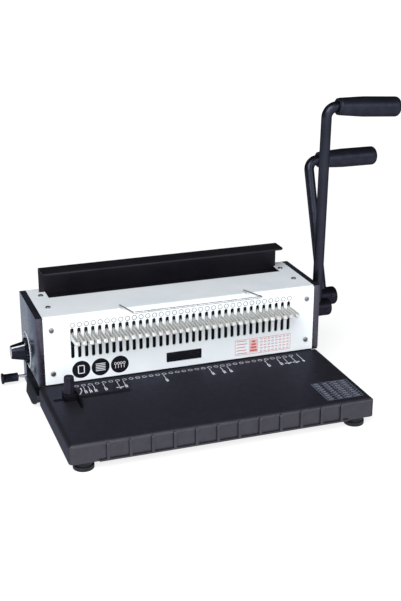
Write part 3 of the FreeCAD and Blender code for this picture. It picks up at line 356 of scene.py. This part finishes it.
node_finish = {
    "punch_arm": lever_finish,
    "bind_arm": lever_finish,
    "punch_hub": hub_finish,
    "bind_hub": hub_finish,
    "dial_knob": knob_finish,
    "selector_knob": knob_finish,
    "edge_knob": moulded_plastic(
        "edge_knob_satin", dark=(0.030, 0.028, 0.043), light=(0.040, 0.037, 0.054), grain=1.2,
        depth=0.010, rough=0.42, specular=0.4, tint=(0.20, 0.21, 0.30), metallic=0.7),
    "edge_guide": moulded_plastic(
        "guide_black", dark=(0.008, 0.008, 0.011), light=(0.013, 0.012, 0.016), grain=1.2, depth=0.012,
        rough=0.45, specular=0.3, tint=(0.30, 0.28, 0.36), metallic=0.6),
    "closing_bar": painted_sheet(
        "bar_coat", dark=(0.024, 0.022, 0.029), light=(0.032, 0.030, 0.038), rough=0.44, peel=0.015,
        tint=(0.20, 0.22, 0.28), metallic=0.7),
    "chip_tray": moulded_plastic(
        "tray_matt", dark=(0.044, 0.050, 0.060), light=(0.054, 0.061, 0.073), grain=1.2, depth=0.02,
        rough=0.62, specular=0.2, tint=(0.10, 0.13, 0.17), metallic=0.8),
    "pan": slot_finish["panel_plastic"],
    "left_frame": slot_finish["black_steel"],
    "right_frame": slot_finish["black_steel"],
    "cover_screws": metal(
        "dark_zinc", dark=(0.20, 0.20, 0.22), light=(0.34, 0.34, 0.37), rough=0.30, size=2.0,
        metallic=0.9),
}
node_slot = {part["node"]: part["material_slot"] for part in frame["record"]["subparts"]}
node_body = {n: body for body, members in frame["record"]["behaviour"]["bodies"].items() for n in members}


def finish_of(node):
    """A node's own finish, or that of its material slot."""
    return node_finish.get(node, slot_finish[node_slot[node]])


def dress(obj, material):
    obj.data.materials.clear()
    obj.data.materials.append(material)


for node, obj in frame["nodes"].items():
    dress(obj, finish_of(node))
    obj.data.shade_smooth()
    obj.data.set_sharp_from_angle(angle=math.radians(SHARP_DEGREES))


# Pieces


def finish_mesh(name, work, material, body, sharp=SHARP_DEGREES):
    """Turns a bmesh into an object that moves with a body."""
    bmesh.ops.recalc_face_normals(work, faces=work.faces)
    mesh = bpy.data.meshes.new(name)
    work.to_mesh(mesh)
    work.free()
    mesh.shade_smooth()
    mesh.set_sharp_from_angle(angle=math.radians(sharp))
    piece = bpy.data.objects.new(name, mesh)
    bpy.context.scene.collection.objects.link(piece)
    dress(piece, material)
    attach(piece, body)
    return piece


def softened(node, width, painted_shade=None, painted_shade_from=0.0):
    """Puts a copy of a CAD node with small rounds along its edges in that node's place.

    Its faces behind the given Y take a second finish as painted shade: a dark finish that stands for the
    shade behind the cover.
    """
    work = bmesh.new()
    work.from_mesh(frame["nodes"][node].data)
    bmesh.ops.remove_doubles(work, verts=work.verts, dist=WELD)
    bmesh.ops.dissolve_limit(work, angle_limit=math.radians(FLAT_DEGREES), verts=work.verts,
                             edges=work.edges)
    limit = math.radians(EDGE_DEGREES)
    edges = [e for e in work.edges if e.is_manifold and e.calc_face_angle(0.0) > limit]
    bmesh.ops.bevel(work, geom=edges, offset=width * MM, segments=2, profile=0.5, affect="EDGES",
                    clamp_overlap=True)
    piece = finish_mesh(node + "_shape", work, finish_of(node), node_body[node])
    if painted_shade is not None:
        piece.data.materials.append(painted_shade)
        for face in piece.data.polygons:
            face.material_index = int(local(face.center).y > painted_shade_from)
    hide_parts(node)


def axis_frame(centre, along, across):
    """Places a point that is given as height along an axis and two offsets square to it."""
    along = Vector(along)
    across = Vector(across)
    other = along.cross(across)
    return lambda height, u, v: at(*(Vector(centre) + along * height + across * u + other * v))


def bridge(work, loops, closed=False):
    """Faces between neighbouring loops of points, and from the last loop to the first if closed."""
    following = loops[1:] + loops[:1] if closed else loops[1:]
    for near, far in zip(loops, following):
        for i in range(len(near)):
            j = (i + 1) % len(near)
            work.faces.new((near[i], near[j], far[j], far[i]))


def add_hull(work, points):
    bmesh.ops.convex_hull(work, input=[work.verts.new(point) for point in points])


def add_turned(work, place, profile, sides, flutes=0):
    """A turned solid with a closed profile of height, radius and flute depth."""
    loops = []
    for height, radius, depth in profile:
        loop = []
        for i in range(sides):
            angle = math.tau * i / sides
            r = radius - depth * (0.5 - 0.5 * math.cos(angle * flutes))
            loop.append(work.verts.new(place(height, r * math.cos(angle), r * math.sin(angle))))
        loops.append(loop)
    bridge(work, loops)
    work.faces.new(loops[0])
    work.faces.new(loops[-1][::-1])


def rounded_rim(height, radius, bend, depth=0.0):
    """Points of a quarter round from the side of a turned solid to its end."""
    steps = 5
    out = []
    for i in range(steps + 1):
        angle = math.pi / 2 * i / steps
        drop = bend * (1.0 - math.sin(angle))
        out.append((height - drop, radius - bend + bend * math.cos(angle), depth * (1.0 - i / steps)))
    return out


def edge_knob():
    """The tall fluted knob of the edge guide, with a recessed top."""
    low, high = (local(corner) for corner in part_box("edge_knob"))
    guide_top = local(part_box("edge_guide")[1]).z - GUIDE_FENCE_PROUD
    place = axis_frame(((low.x + high.x) / 2, (low.y + high.y) / 2, 0.0), (0, 0, 1), (1, 0, 0))
    foot = guide_top + 0.1
    foot_radius = (high.x - low.x) / 2 - 0.02
    top_radius = foot_radius - 0.7
    flute = 0.5
    stud = [(low.z, EDGE_KNOB_STUD, 0.0), (foot, EDGE_KNOB_STUD + 0.1, 0.0)]
    base = [(foot, foot_radius - 0.8, 0.0), (foot + 0.4, foot_radius, 0.15),
            (foot + 1.6, foot_radius - 0.05, flute)]
    side = [(high.z - 1.4, top_radius, flute)] + rounded_rim(high.z, top_radius, 0.9, 0.35)
    recess = [(high.z - 0.1, top_radius - 1.5, 0.0), (high.z - 0.8, top_radius - 1.8, 0.0)]
    work = bmesh.new()
    add_turned(work, place, stud + base + side + recess, sides=96, flutes=8)
    knob = finish_mesh("edge_knob_shape", work, finish_of("edge_knob"), "edge_knob",
                       sharp=38.0)
    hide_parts("edge_knob")


def selector_knob():
    """The pull rod's knob: a finely ribbed grip that ends in a round flange."""
    low, high = (local(corner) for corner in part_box("selector_knob"))
    centre = (high.x, (low.y + high.y) / 2, (low.z + high.z) / 2)
    place = axis_frame(centre, (-1, 0, 0), (0, 1, 0))
    length = high.x - low.x
    flange = (high.z - low.z) / 2
    grip = flange - 1.5
    rib = 0.35
    bore = [(length * 0.7, SELECTOR_ROD_RADIUS, 0.0), (0.0, SELECTOR_ROD_RADIUS, 0.0)]
    side = [(0.0, grip - 0.5, 0.0), (0.4, grip, 0.0), (1.0, grip, rib), (length - 3.6, grip, rib),
            (length - 3.0, grip + 0.2, 0.0)]
    end = [(length - 2.4, flange - 0.3, 0.0), (length - 2.1, flange, 0.0)]
    end += rounded_rim(length, flange, 0.7)
    work = bmesh.new()
    add_turned(work, place, bore + side + end, sides=96, flutes=24)
    knob = finish_mesh("selector_knob_shape", work, finish_of("selector_knob"), "selector",
                       sharp=38.0)
    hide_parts("selector_knob")


def dial_knob():
    """The dial's knob: a toothed skirt, a smooth cone with a pale cap, and a pointer along both."""
    low, high = (local(corner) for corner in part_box("dial_knob"))
    centre = (high.x, (low.y + high.y) / 2, (low.z + high.z) / 2)
    upright = math.sqrt(1.0 - DIAL_POINTER_LEAN ** 2)
    place = axis_frame(centre, (-1, 0, 0), (0, -DIAL_POINTER_LEAN, upright))
    length = high.x - low.x
    skirt = DIAL_SKIRT_RADIUS
    grip = DIAL_GRIP_RADIUS
    root = DIAL_GRIP_ROOT
    tooth = 1.4
    plate = [(0.0, skirt - 0.3, tooth), (0.3, skirt, tooth), (2.4, skirt, tooth),
             (3.0, skirt - 0.7, tooth / 2), (3.1, skirt - 2.4, 0.0)]
    cone = [(3.3, root + 0.4, 0.0), (4.2, root - 0.2, 0.0), (length - 1.0, grip - 0.1, 0.0)]
    cone += rounded_rim(length, grip - 0.2, 0.8)
    recess = [(length, grip - 1.6, 0.0), (length - 0.5, grip - 1.9, 0.0)]
    work = bmesh.new()
    add_turned(work, place, plate + cone + recess, sides=144, flutes=24)
    knob = finish_mesh("dial_knob_shape", work, finish_of("dial_knob"), "dial",
                       sharp=34.0)
    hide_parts("dial_knob")
    cap = [(length - 0.6, grip - 1.95, 0.0), (length - 0.2, grip - 1.95, 0.0),
           (length - 0.1, grip - 2.2, 0.0)]
    work = bmesh.new()
    add_turned(work, place, cap, sides=64)
    finish_mesh("dial_cap", work, pale_ink, "dial")
    skirt_line = [(2.9, grip), (2.9, skirt - 1.0), (3.35, grip), (3.35, skirt - 1.0)]
    cone_line = [(3.3, grip - 2.0), (3.3, root + 0.25), (length - 0.3, grip - 1.0),
                 (length - 0.3, grip + 0.15)]
    work = bmesh.new()
    for outline in (skirt_line, cone_line):
        add_hull(work, [place(height, radius, side) for height, radius in outline
                        for side in (-DIAL_POINTER_HALF, DIAL_POINTER_HALF)])
    finish_mesh("dial_pointer", work, white_ink, "dial")


def pan_head(work, place, radius, high):
    """A domed screw head with a cross recess, standing on height 0."""
    sides = 40
    dome = [(-SCREW_HEAD_SUNK, 0.45), (0.0, 1.0), (0.45, 1.0), (0.72, 0.93), (0.9, 0.78), (0.98, 0.6)]
    turns = [math.tau * i / sides for i in range(sides)]
    loops = []
    for height, share in dome:
        reach = radius * share
        loops.append([work.verts.new(place(height * high, reach * math.cos(a), reach * math.sin(a)))
                      for a in turns])
    arm = radius * 0.5
    half = radius * 0.16
    cross = [(arm, -half), (arm, half), (half, half), (half, arm), (-half, arm), (-half, half),
             (-arm, half), (-arm, -half), (-half, -half), (-half, -arm), (half, -arm), (half, -half)]
    rim = [work.verts.new(place(high * 0.99, u, v)) for u, v in cross]
    pit = [work.verts.new(place(high * 0.35, u * 0.8, v * 0.8)) for u, v in cross]
    bridge(work, loops)
    work.faces.new(loops[0])
    top = loops[-1]
    edges = [work.edges.get((top[i], top[(i + 1) % sides])) for i in range(sides)]
    edges += [work.edges.new((rim[i], rim[(i + 1) % len(rim)])) for i in range(len(rim))]
    bmesh.ops.triangle_fill(work, edges=edges, use_beauty=True)
    bridge(work, [rim, pit])
    work.faces.new(pit)


def islands(node):
    """The boxes of a node's separate solids, in millimetres of the machine."""
    work = bmesh.new()
    work.from_mesh(frame["nodes"][node].data)
    bmesh.ops.remove_doubles(work, verts=work.verts, dist=WELD)
    left = set(work.verts)
    out = []
    while left:
        group = set()
        front = [left.pop()]
        while front:
            vert = front.pop()
            group.add(vert)
            for edge in vert.link_edges:
                other = edge.other_vert(vert)
                if other in left:
                    left.discard(other)
                    front.append(other)
        points = [local(v.co) for v in group]
        out.append((Vector([min(q[i] for q in points) for i in range(3)]),
                    Vector([max(q[i] for q in points) for i in range(3)])))
    work.free()
    return sorted(out, key=lambda pair: tuple(pair[0]))


def screws(node, facing):
    """Pan head screws in place of a node's plain ones. The facing gives each screw's outward way."""
    work = bmesh.new()
    for low, high in islands(node):
        out = facing(low, high)
        axis = max(range(3), key=lambda i: abs(out[i]))
        head = (low + high) / 2
        head[axis] = high[axis] - SCREW_HEAD_HIGH if out[axis] > 0 else low[axis] + SCREW_HEAD_HIGH
        across = (1, 0, 0) if axis != 0 else (0, 1, 0)
        across = Matrix.Rotation(head.x + head.z, 3, Vector(out)) @ Vector(across)
        place = axis_frame(head, out, across)
        radius = (high[0] - low[0]) / 2 if axis != 0 else (high[1] - low[1]) / 2
        pan_head(work, place, radius, SCREW_HEAD_HIGH)
        shank_end = SCREW_HEAD_HIGH - (high - low)[axis]
        shank_start = -(SCREW_HEAD_SUNK + 0.01) * SCREW_HEAD_HIGH
        add_turned(work, place, [(shank_end, SCREW_RADIUS, 0.0), (shank_start, SCREW_RADIUS, 0.0)],
                   sides=20)
    piece = finish_mesh(node + "_shape", work, finish_of(node), node_body[node])
    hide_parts(node)


def panel_seals():
    """Dark strips that close the gap between the side panels' front ends and the table."""
    work = bmesh.new()
    for side in (-1, 1):
        add_hull(work, [at(side * x, y, z) for x in (COVER_END + 0.2, PANEL_OUT - 0.4)
                        for y in (SEAL_FRONT, SEAL_BACK) for z in (TABLE_TOP + 0.1, PANEL_FOOT)])
    finish_mesh("panel_seals", work, slot_finish["foot_rubber"], "frame")


softened("left_panel", 0.4)
softened("right_panel", 0.4)
softened("closing_bar", 0.5)
softened("chip_tray", 0.5)
# Painted shade: the finger rack's faces behind the cover take black paint in place of the shade seen through
# the slots above the fingers.
softened("finger_rack", 0.2, painted_shade=slot_finish["black_steel"], painted_shade_from=3.6)
softened("edge_guide", 0.5)
softened("badge", 0.25)
panel_seals()
edge_knob()
selector_knob()
dial_knob()
screws("cover_screws", lambda low, high: (0, 0, 1) if high.z > COVER_TOP + 1.0 else (0, -1, 0))
screws("back_screws", lambda low, high: (0, 1, 0))


# Prints, as thin films of ink, and painted shade in the edge guide's slot, built the same way. Each place
# takes two offsets on its surface and a height over it.


def on_cover(u, v, w):
    return at(u, -w, v)


def on_disc(u, v, w):
    return at(u, -INK_THICK - w, v)


def on_table(u, v, w):
    return at(u, v, TABLE_TOP + w)


def on_left_panel(u, v, w):
    return at(-PANEL_OUT - w, u, v)


def on_dial_rim(u, v, w):
    return on_left_panel(u, v, DIAL_RING_PROUD if w > 0 else w)


def add_prism(work, place, outline):
    """A film with the given outline."""
    low = [work.verts.new(place(u, v, -INK_SUNK)) for u, v in outline]
    high = [work.verts.new(place(u, v, INK_THICK)) for u, v in outline]
    work.faces.new(high)
    work.faces.new(low[::-1])
    bridge(work, [low, high])


def add_bar(work, place, u0, u1, v0, v1):
    """A bar of ink between two offsets each way."""
    add_prism(work, place, [(u0, v0), (u1, v0), (u1, v1), (u0, v1)])


def add_block(work, place, u, v, half_wide, half_high):
    """A bar of ink round its middle."""
    add_bar(work, place, u - half_wide, u + half_wide, v - half_high, v + half_high)


def add_stroke(work, place, start, end, width):
    """A straight line of ink."""
    a = Vector(start)
    b = Vector(end)
    across = (b - a).orthogonal().normalized() * width / 2
    add_prism(work, place, [a - across, b - across, b + across, a + across])


def circle(u, v, radius, sides, start=0.0, turn=360.0):
    """Points along a circle, or along a part of one with both its ends."""
    count = sides if turn >= 360.0 else sides + 1
    return [(u + radius * math.cos(math.radians(start + turn * i / sides)),
             v + radius * math.sin(math.radians(start + turn * i / sides))) for i in range(count)]


def add_ring(work, place, u, v, radius, line, sides=32):
    """A ring of ink whose outer radius is given."""
    section = ((radius, -INK_SUNK), (radius, INK_THICK), (radius - line, INK_THICK),
               (radius - line, -INK_SUNK))
    loops = [[work.verts.new(place(a, b, w)) for a, b in circle(u, v, r, sides)] for r, w in section]
    bridge(work, loops, closed=True)


def slot_marks():
    """A ring above each slot."""
    work = bmesh.new()
    for x in spread(SLOT_RING_SHIFT, HOLE_PITCH, HOLE_COUNT):
        add_ring(work, on_cover, x, SLOT_RING_Z, SLOT_RING_RADIUS, SLOT_RING_LINE)
    finish_mesh("slot_marks", work, ring_ink, "frame")


def cover_discs():
    """Three black discs on the cover's front."""
    work = bmesh.new()
    for x in DISC_X:
        add_prism(work, on_cover, circle(x, DISC_Z, DISC_RADIUS, 64))
    finish_mesh("cover_discs", work, dark_ink_and_shade, "frame")


def disc_signs():
    """Plain signs on the three discs: a sheet, a stack of sheets and a row of rings."""
    sheet_x, stack_x, rings_x = DISC_X
    half = 3.6
    high = 5.0
    line = 0.55
    work = bmesh.new()
    for side in (-1, 1):
        add_block(work, on_disc, sheet_x + side * half, DISC_Z, line, high)
        add_block(work, on_disc, sheet_x, DISC_Z + side * high, half - line, line)
    for z in spread(DISC_Z, 2.2, 5):
        add_block(work, on_disc, stack_x, z, 6.0, 0.5)
    for x in spread(rings_x, 3.6, 4):
        add_ring(work, on_disc, x, DISC_Z + 1.6, 1.7, 0.6, 24)
        add_block(work, on_disc, x, DISC_Z - 2.6, 0.35, 2.0)
    finish_mesh("disc_signs", work, white_ink, "frame")


def table_scale():
    """Rings in line with the slots, and lines that lead to sheet width marks."""
    front = LEADER_FRONT
    work = bmesh.new()
    for x in spread(TABLE_RING_SHIFT, HOLE_PITCH, HOLE_COUNT):
        add_ring(work, on_table, x, TABLE_RING_Y, TABLE_RING_RADIUS, TABLE_RING_LINE)
    for x in LEADERS_X:
        add_bar(work, on_table, x - LEADER_HALF, x + LEADER_HALF, front + 8.0, LEADER_BACK)
        add_bar(work, on_table, x - 1.5, x - 0.2, front, front + 8.2)
        add_bar(work, on_table, x + 0.4, x + 1.6, front + 0.8, front + 7.4)
    for x in SHORT_LEADERS_X:
        add_bar(work, on_table, x - LEADER_HALF, x + LEADER_HALF, front + 5.0, LEADER_BACK)
        add_bar(work, on_table, x - 4.6, x + 4.6, front + 2.6, front + 4.4)
        add_bar(work, on_table, x - 1.4, x + 1.4, front, front + 5.0)
    x = EDGE_LEADER_X
    add_bar(work, on_table, x - LEADER_HALF, x + LEADER_HALF, front + 6.0, EDGE_LEADER_BACK)
    add_bar(work, on_table, x - 1.2, x + 1.2, front + 1.0, front + 6.0)
    finish_mesh("table_scale", work, scale_ink, "frame")


def table_bracket():
    """The rounded mark beside the first ring."""
    work = bmesh.new()
    for start, end in zip(BRACKET, BRACKET[1:]):
        add_stroke(work, on_table, start, end, BRACKET_LINE)
    finish_mesh("table_bracket", work, white_ink, "frame")


def table_grid():
    """A blank table of lines with short bars in its cells."""
    half_line = 0.2
    half_bar = 0.75
    step = (GRID_BACK - GRID_FRONT) / GRID_ROWS
    span = GRID_RIGHT - GRID_LEFT
    work = bmesh.new()
    for i in range(GRID_ROWS + 1):
        y = GRID_FRONT + i * step
        add_bar(work, on_table, GRID_LEFT, GRID_RIGHT, y - half_line, y + half_line)
    for share in GRID_COLUMNS:
        x = GRID_LEFT + span * share
        for i in range(GRID_ROWS):
            y = GRID_FRONT + i * step
            add_bar(work, on_table, x - half_line, x + half_line, y + half_line, y + step - half_line)
    for row in range(GRID_ROWS):
        y = GRID_FRONT + (row + 0.5) * step
        for start, end in zip(GRID_COLUMNS, GRID_COLUMNS[1:]):
            room = (end - start) * span
            x = GRID_LEFT + start * span + room * 0.16
            variation = (row * 3 + int(start * 10)) % 3 / 2
            long = room * (0.45 + 0.2 * variation)
            add_bar(work, on_table, x, x + long, y - half_bar, y + half_bar)
    finish_mesh("table_grid", work, grid_ink, "frame")


def slot_outline(inset):
    """The outline of the edge guide's slot, drawn in by an inset."""
    half = GUIDE_SLOT_HALF - inset
    bend = half - 0.1
    left = GUIDE_SLOT_LEFT + inset + bend
    right = GUIDE_SLOT_RIGHT - inset - bend
    back = GUIDE_SLOT_Y + half - bend
    front = GUIDE_SLOT_Y - half + bend
    points = []
    for x, y, start in ((right, back, 0.0), (left, back, 90.0), (left, front, 180.0), (right, front, 270.0)):
        points += circle(x, y, bend, 8, start, 90.0)
    return points


def guide_slot_painted_shade():
    """Painted shade in and round the slot that the edge guide runs in: a dark film down its walls and a dark
    border on the table.
    """
    low = TABLE_TOP - GUIDE_SLOT_SHADE_DEEP
    under = TABLE_TOP - INK_SUNK
    over = TABLE_TOP + INK_THICK
    section = ((0.02, low), (0.02, under), (-GUIDE_SLOT_SHADE_EDGE, under), (-GUIDE_SLOT_SHADE_EDGE, over),
               (0.17, over), (0.17, low))
    work = bmesh.new()
    loops = [[work.verts.new(at(x, y, z)) for x, y in slot_outline(inset)] for inset, z in section]
    bridge(work, loops, closed=True)
    finish_mesh("guide_slot_painted_shade", work, dark_ink_and_shade, "frame")


def chart_lines():
    """A plain size chart: a frame, and rows of small rings and bars."""
    half_line = 0.22
    step = (CHART_HIGH - CHART_LOW) / CHART_ROWS
    pitch = (CHART_RIGHT - CHART_BLOCK_RIGHT - 3.0) / CHART_COLUMNS
    work = bmesh.new()
    for z in (CHART_LOW, CHART_HIGH):
        add_bar(work, on_cover, CHART_LEFT, CHART_RIGHT, z - half_line, z + half_line)
    for x in (CHART_LEFT, CHART_RIGHT):
        add_bar(work, on_cover, x - half_line, x + half_line, CHART_LOW + half_line,
                CHART_HIGH - half_line)
    for row in range(CHART_ROWS):
        z = CHART_LOW + step * (row + 0.5)
        bar_end = CHART_BLOCK_LEFT - 2.6 - 1.2 * (row % 3)
        add_bar(work, on_cover, CHART_LEFT + 1.8, bar_end, z - 0.45, z + 0.45)
        for column in range(CHART_COLUMNS):
            x = CHART_BLOCK_RIGHT + 2.4 + pitch * (column + 0.4)
            if (row + column) % 2:
                add_block(work, on_cover, x, z, 1.9, 0.4)
            else:
                add_ring(work, on_cover, x, z, 1.35, 0.5, 20)
    finish_mesh("chart_lines", work, red_ink, "frame")


def chart_block():
    """The tinted middle column of the chart, with stepped bars."""
    middle = (CHART_BLOCK_LEFT + CHART_BLOCK_RIGHT) / 2
    work = bmesh.new()
    add_bar(work, on_cover, CHART_BLOCK_LEFT, CHART_BLOCK_RIGHT, CHART_LOW + 1.6, CHART_HIGH - 1.2)
    finish_mesh("chart_block", work, rose_ink, "frame")
    work = bmesh.new()
    for i, half in enumerate((4.6, 3.8, 3.0, 2.2)):
        add_block(work, on_disc, middle, CHART_LOW + 4.4 + 4.1 * i, half, 1.1)
    finish_mesh("chart_steps", work, red_ink, "frame")


def dial_ring():
    """The raised ring round the dial, cut off by the panel's lower edge."""
    middle = DIAL_MIDDLE
    outer = DIAL_RING_RADIUS
    inner = DIAL_RING_RADIUS - DIAL_RING_LINE
    edge = PANEL_FOOT + 0.8
    below = math.asin(min(1.0, (middle.z - edge) / outer))
    steps = 96
    turns = [-below + (math.pi + 2 * below) * i / steps for i in range(steps + 1)]
    work = bmesh.new()
    for a, b in zip(turns, turns[1:]):
        add_prism(work, on_dial_rim, [
            (middle.y + radius * math.cos(angle), middle.z + radius * math.sin(angle))
            for radius, angle in ((inner, a), (outer, a), (outer, b), (inner, b))])
    bmesh.ops.remove_doubles(work, verts=work.verts, dist=WELD)
    reach = outer * math.cos(below) - DIAL_RING_LINE
    add_bar(work, on_dial_rim, middle.y - reach, middle.y + reach, edge, edge + DIAL_RING_LINE)
    finish_mesh("dial_ring", work, white_ink, "frame")


def dial_numbers():
    """The numbers 1 to 8 round the dial."""
    work = bmesh.new()
    for i in range(DIAL_NUMBER_COUNT):
        angle = math.radians(DIAL_NUMBER_START - DIAL_NUMBER_STEP * i)
        data = bpy.data.curves.new("number", "FONT")
        data.body = str(i + 1)
        data.size = DIAL_NUMBER_SIZE
        data.align_x = "CENTER"
        data.align_y = "CENTER"
        data.extrude = 0.04
        holder = bpy.data.objects.new("number", data)
        mesh = bpy.data.meshes.new_from_object(holder)
        first = len(work.verts)
        work.from_mesh(mesh)
        work.verts.ensure_lookup_table()
        for vert in work.verts[first:]:
            u, v, w = vert.co
            y = DIAL_MIDDLE.y + DIAL_NUMBER_RADIUS * math.cos(angle) - u
            z = DIAL_MIDDLE.z + DIAL_NUMBER_RADIUS * math.sin(angle) + v
            vert.co = on_left_panel(y, z, w + 0.01)
        bpy.data.objects.remove(holder)
        bpy.data.curves.remove(data)
        bpy.data.meshes.remove(mesh)
    finish_mesh("dial_numbers", work, white_ink, "frame")


slot_marks()
cover_discs()
disc_signs()
table_scale()
table_bracket()
table_grid()
# Painted shade: a dark film in and round the edge guide's slot.
guide_slot_painted_shade()
chart_lines()
chart_block()
dial_ring()
dial_numbers()


# Floor, light and camera


def floor():
    """A pale floor that glows a little more further out, as a lit studio table does."""
    work = bmesh.new()
    bmesh.ops.create_grid(work, x_segments=8, y_segments=8, size=FLOOR_HALF)
    mesh = bpy.data.meshes.new("floor")
    work.to_mesh(mesh)
    work.free()
    obj = bpy.data.objects.new("floor", mesh)
    bpy.context.scene.collection.objects.link(obj)
    surface = Surface("pale_floor", roughness=0.9, specular=0.05)
    surface.colour(surface.noise(size=400.0, detail=2.0), (0.33, 0.33, 0.33), (0.35, 0.35, 0.35))
    scaled = surface.nodes.new("ShaderNodeMapping")
    scaled.inputs["Scale"].default_value = (FLOOR_GLOW_SCALE,) * 3
    surface.links.new(surface.space, scaled.inputs["Vector"])
    fade = surface.nodes.new("ShaderNodeTexGradient")
    fade.gradient_type = "SPHERICAL"
    surface.links.new(scaled.outputs["Vector"], fade.inputs["Vector"])
    glow = surface.remapped(fade.outputs["Fac"], (FLOOR_GLOW_START, 0.0), (FLOOR_GLOW_NEAR, FLOOR_GLOW_FAR))
    surface.links.new(glow, surface.shader.inputs["Emission Strength"])
    surface.shader.inputs["Emission Color"].default_value = (1.0, 1.0, 1.0, 1.0)
    dress(obj, surface.material)
    obj.location = (0.0, 0.0, -FLOOR_DROP)


def soft_box(name, turn, lift, distance, width, height, power):
    """A soft light seen from the machine at a turn from straight in front and a lift, in degrees."""
    a = math.radians(turn)
    b = math.radians(lift)
    target = Vector((0.0, 0.0, 0.1))
    way = Vector((math.sin(a) * math.cos(b), -math.cos(a) * math.cos(b), math.sin(b)))
    light = bpy.data.lights.new(name, "AREA")
    light.shape = "RECTANGLE"
    light.size = width
    light.size_y = height
    light.energy = power
    obj = bpy.data.objects.new(name, light)
    bpy.context.scene.collection.objects.link(obj)
    obj.location = target + way * distance
    obj.rotation_euler = (-way).to_track_quat("-Z", "Y").to_euler()


def lights():
    soft_box("key_light", turn=-34.0, lift=44.0, distance=3.0, width=2.4, height=1.9, power=104.0)
    soft_box("front_light", turn=-5.0, lift=12.0, distance=3.2, width=3.0, height=1.5, power=26.0)
    soft_box("right_light", turn=34.0, lift=24.0, distance=3.4, width=2.0, height=1.4, power=24.0)
    world = bpy.data.worlds.new("studio")
    bpy.context.scene.world = world
    world.use_nodes = True
    sky = next(n for n in world.node_tree.nodes if n.type == "BACKGROUND")
    sky.inputs["Color"].default_value = (0.76, 0.88, 1.0, 1.0)
    sky.inputs["Strength"].default_value = 0.10


def camera():
    data = bpy.data.cameras.new("camera")
    data.sensor_width = 36.0
    data.lens = FOCAL_PIXELS / PICTURE_HEIGHT * data.sensor_width
    data.clip_start = 0.01
    data.clip_end = 50.0
    obj = bpy.data.objects.new("camera", data)
    bpy.context.scene.collection.objects.link(obj)
    obj.location = at(*CAMERA_PLACE)
    obj.rotation_euler = (math.radians(90 - CAMERA_DROP), 0.0, math.radians(-CAMERA_TURN))
    bpy.context.scene.camera = obj


floor()
lights()
camera()
bpy.context.scene.view_settings.view_transform = "Standard"
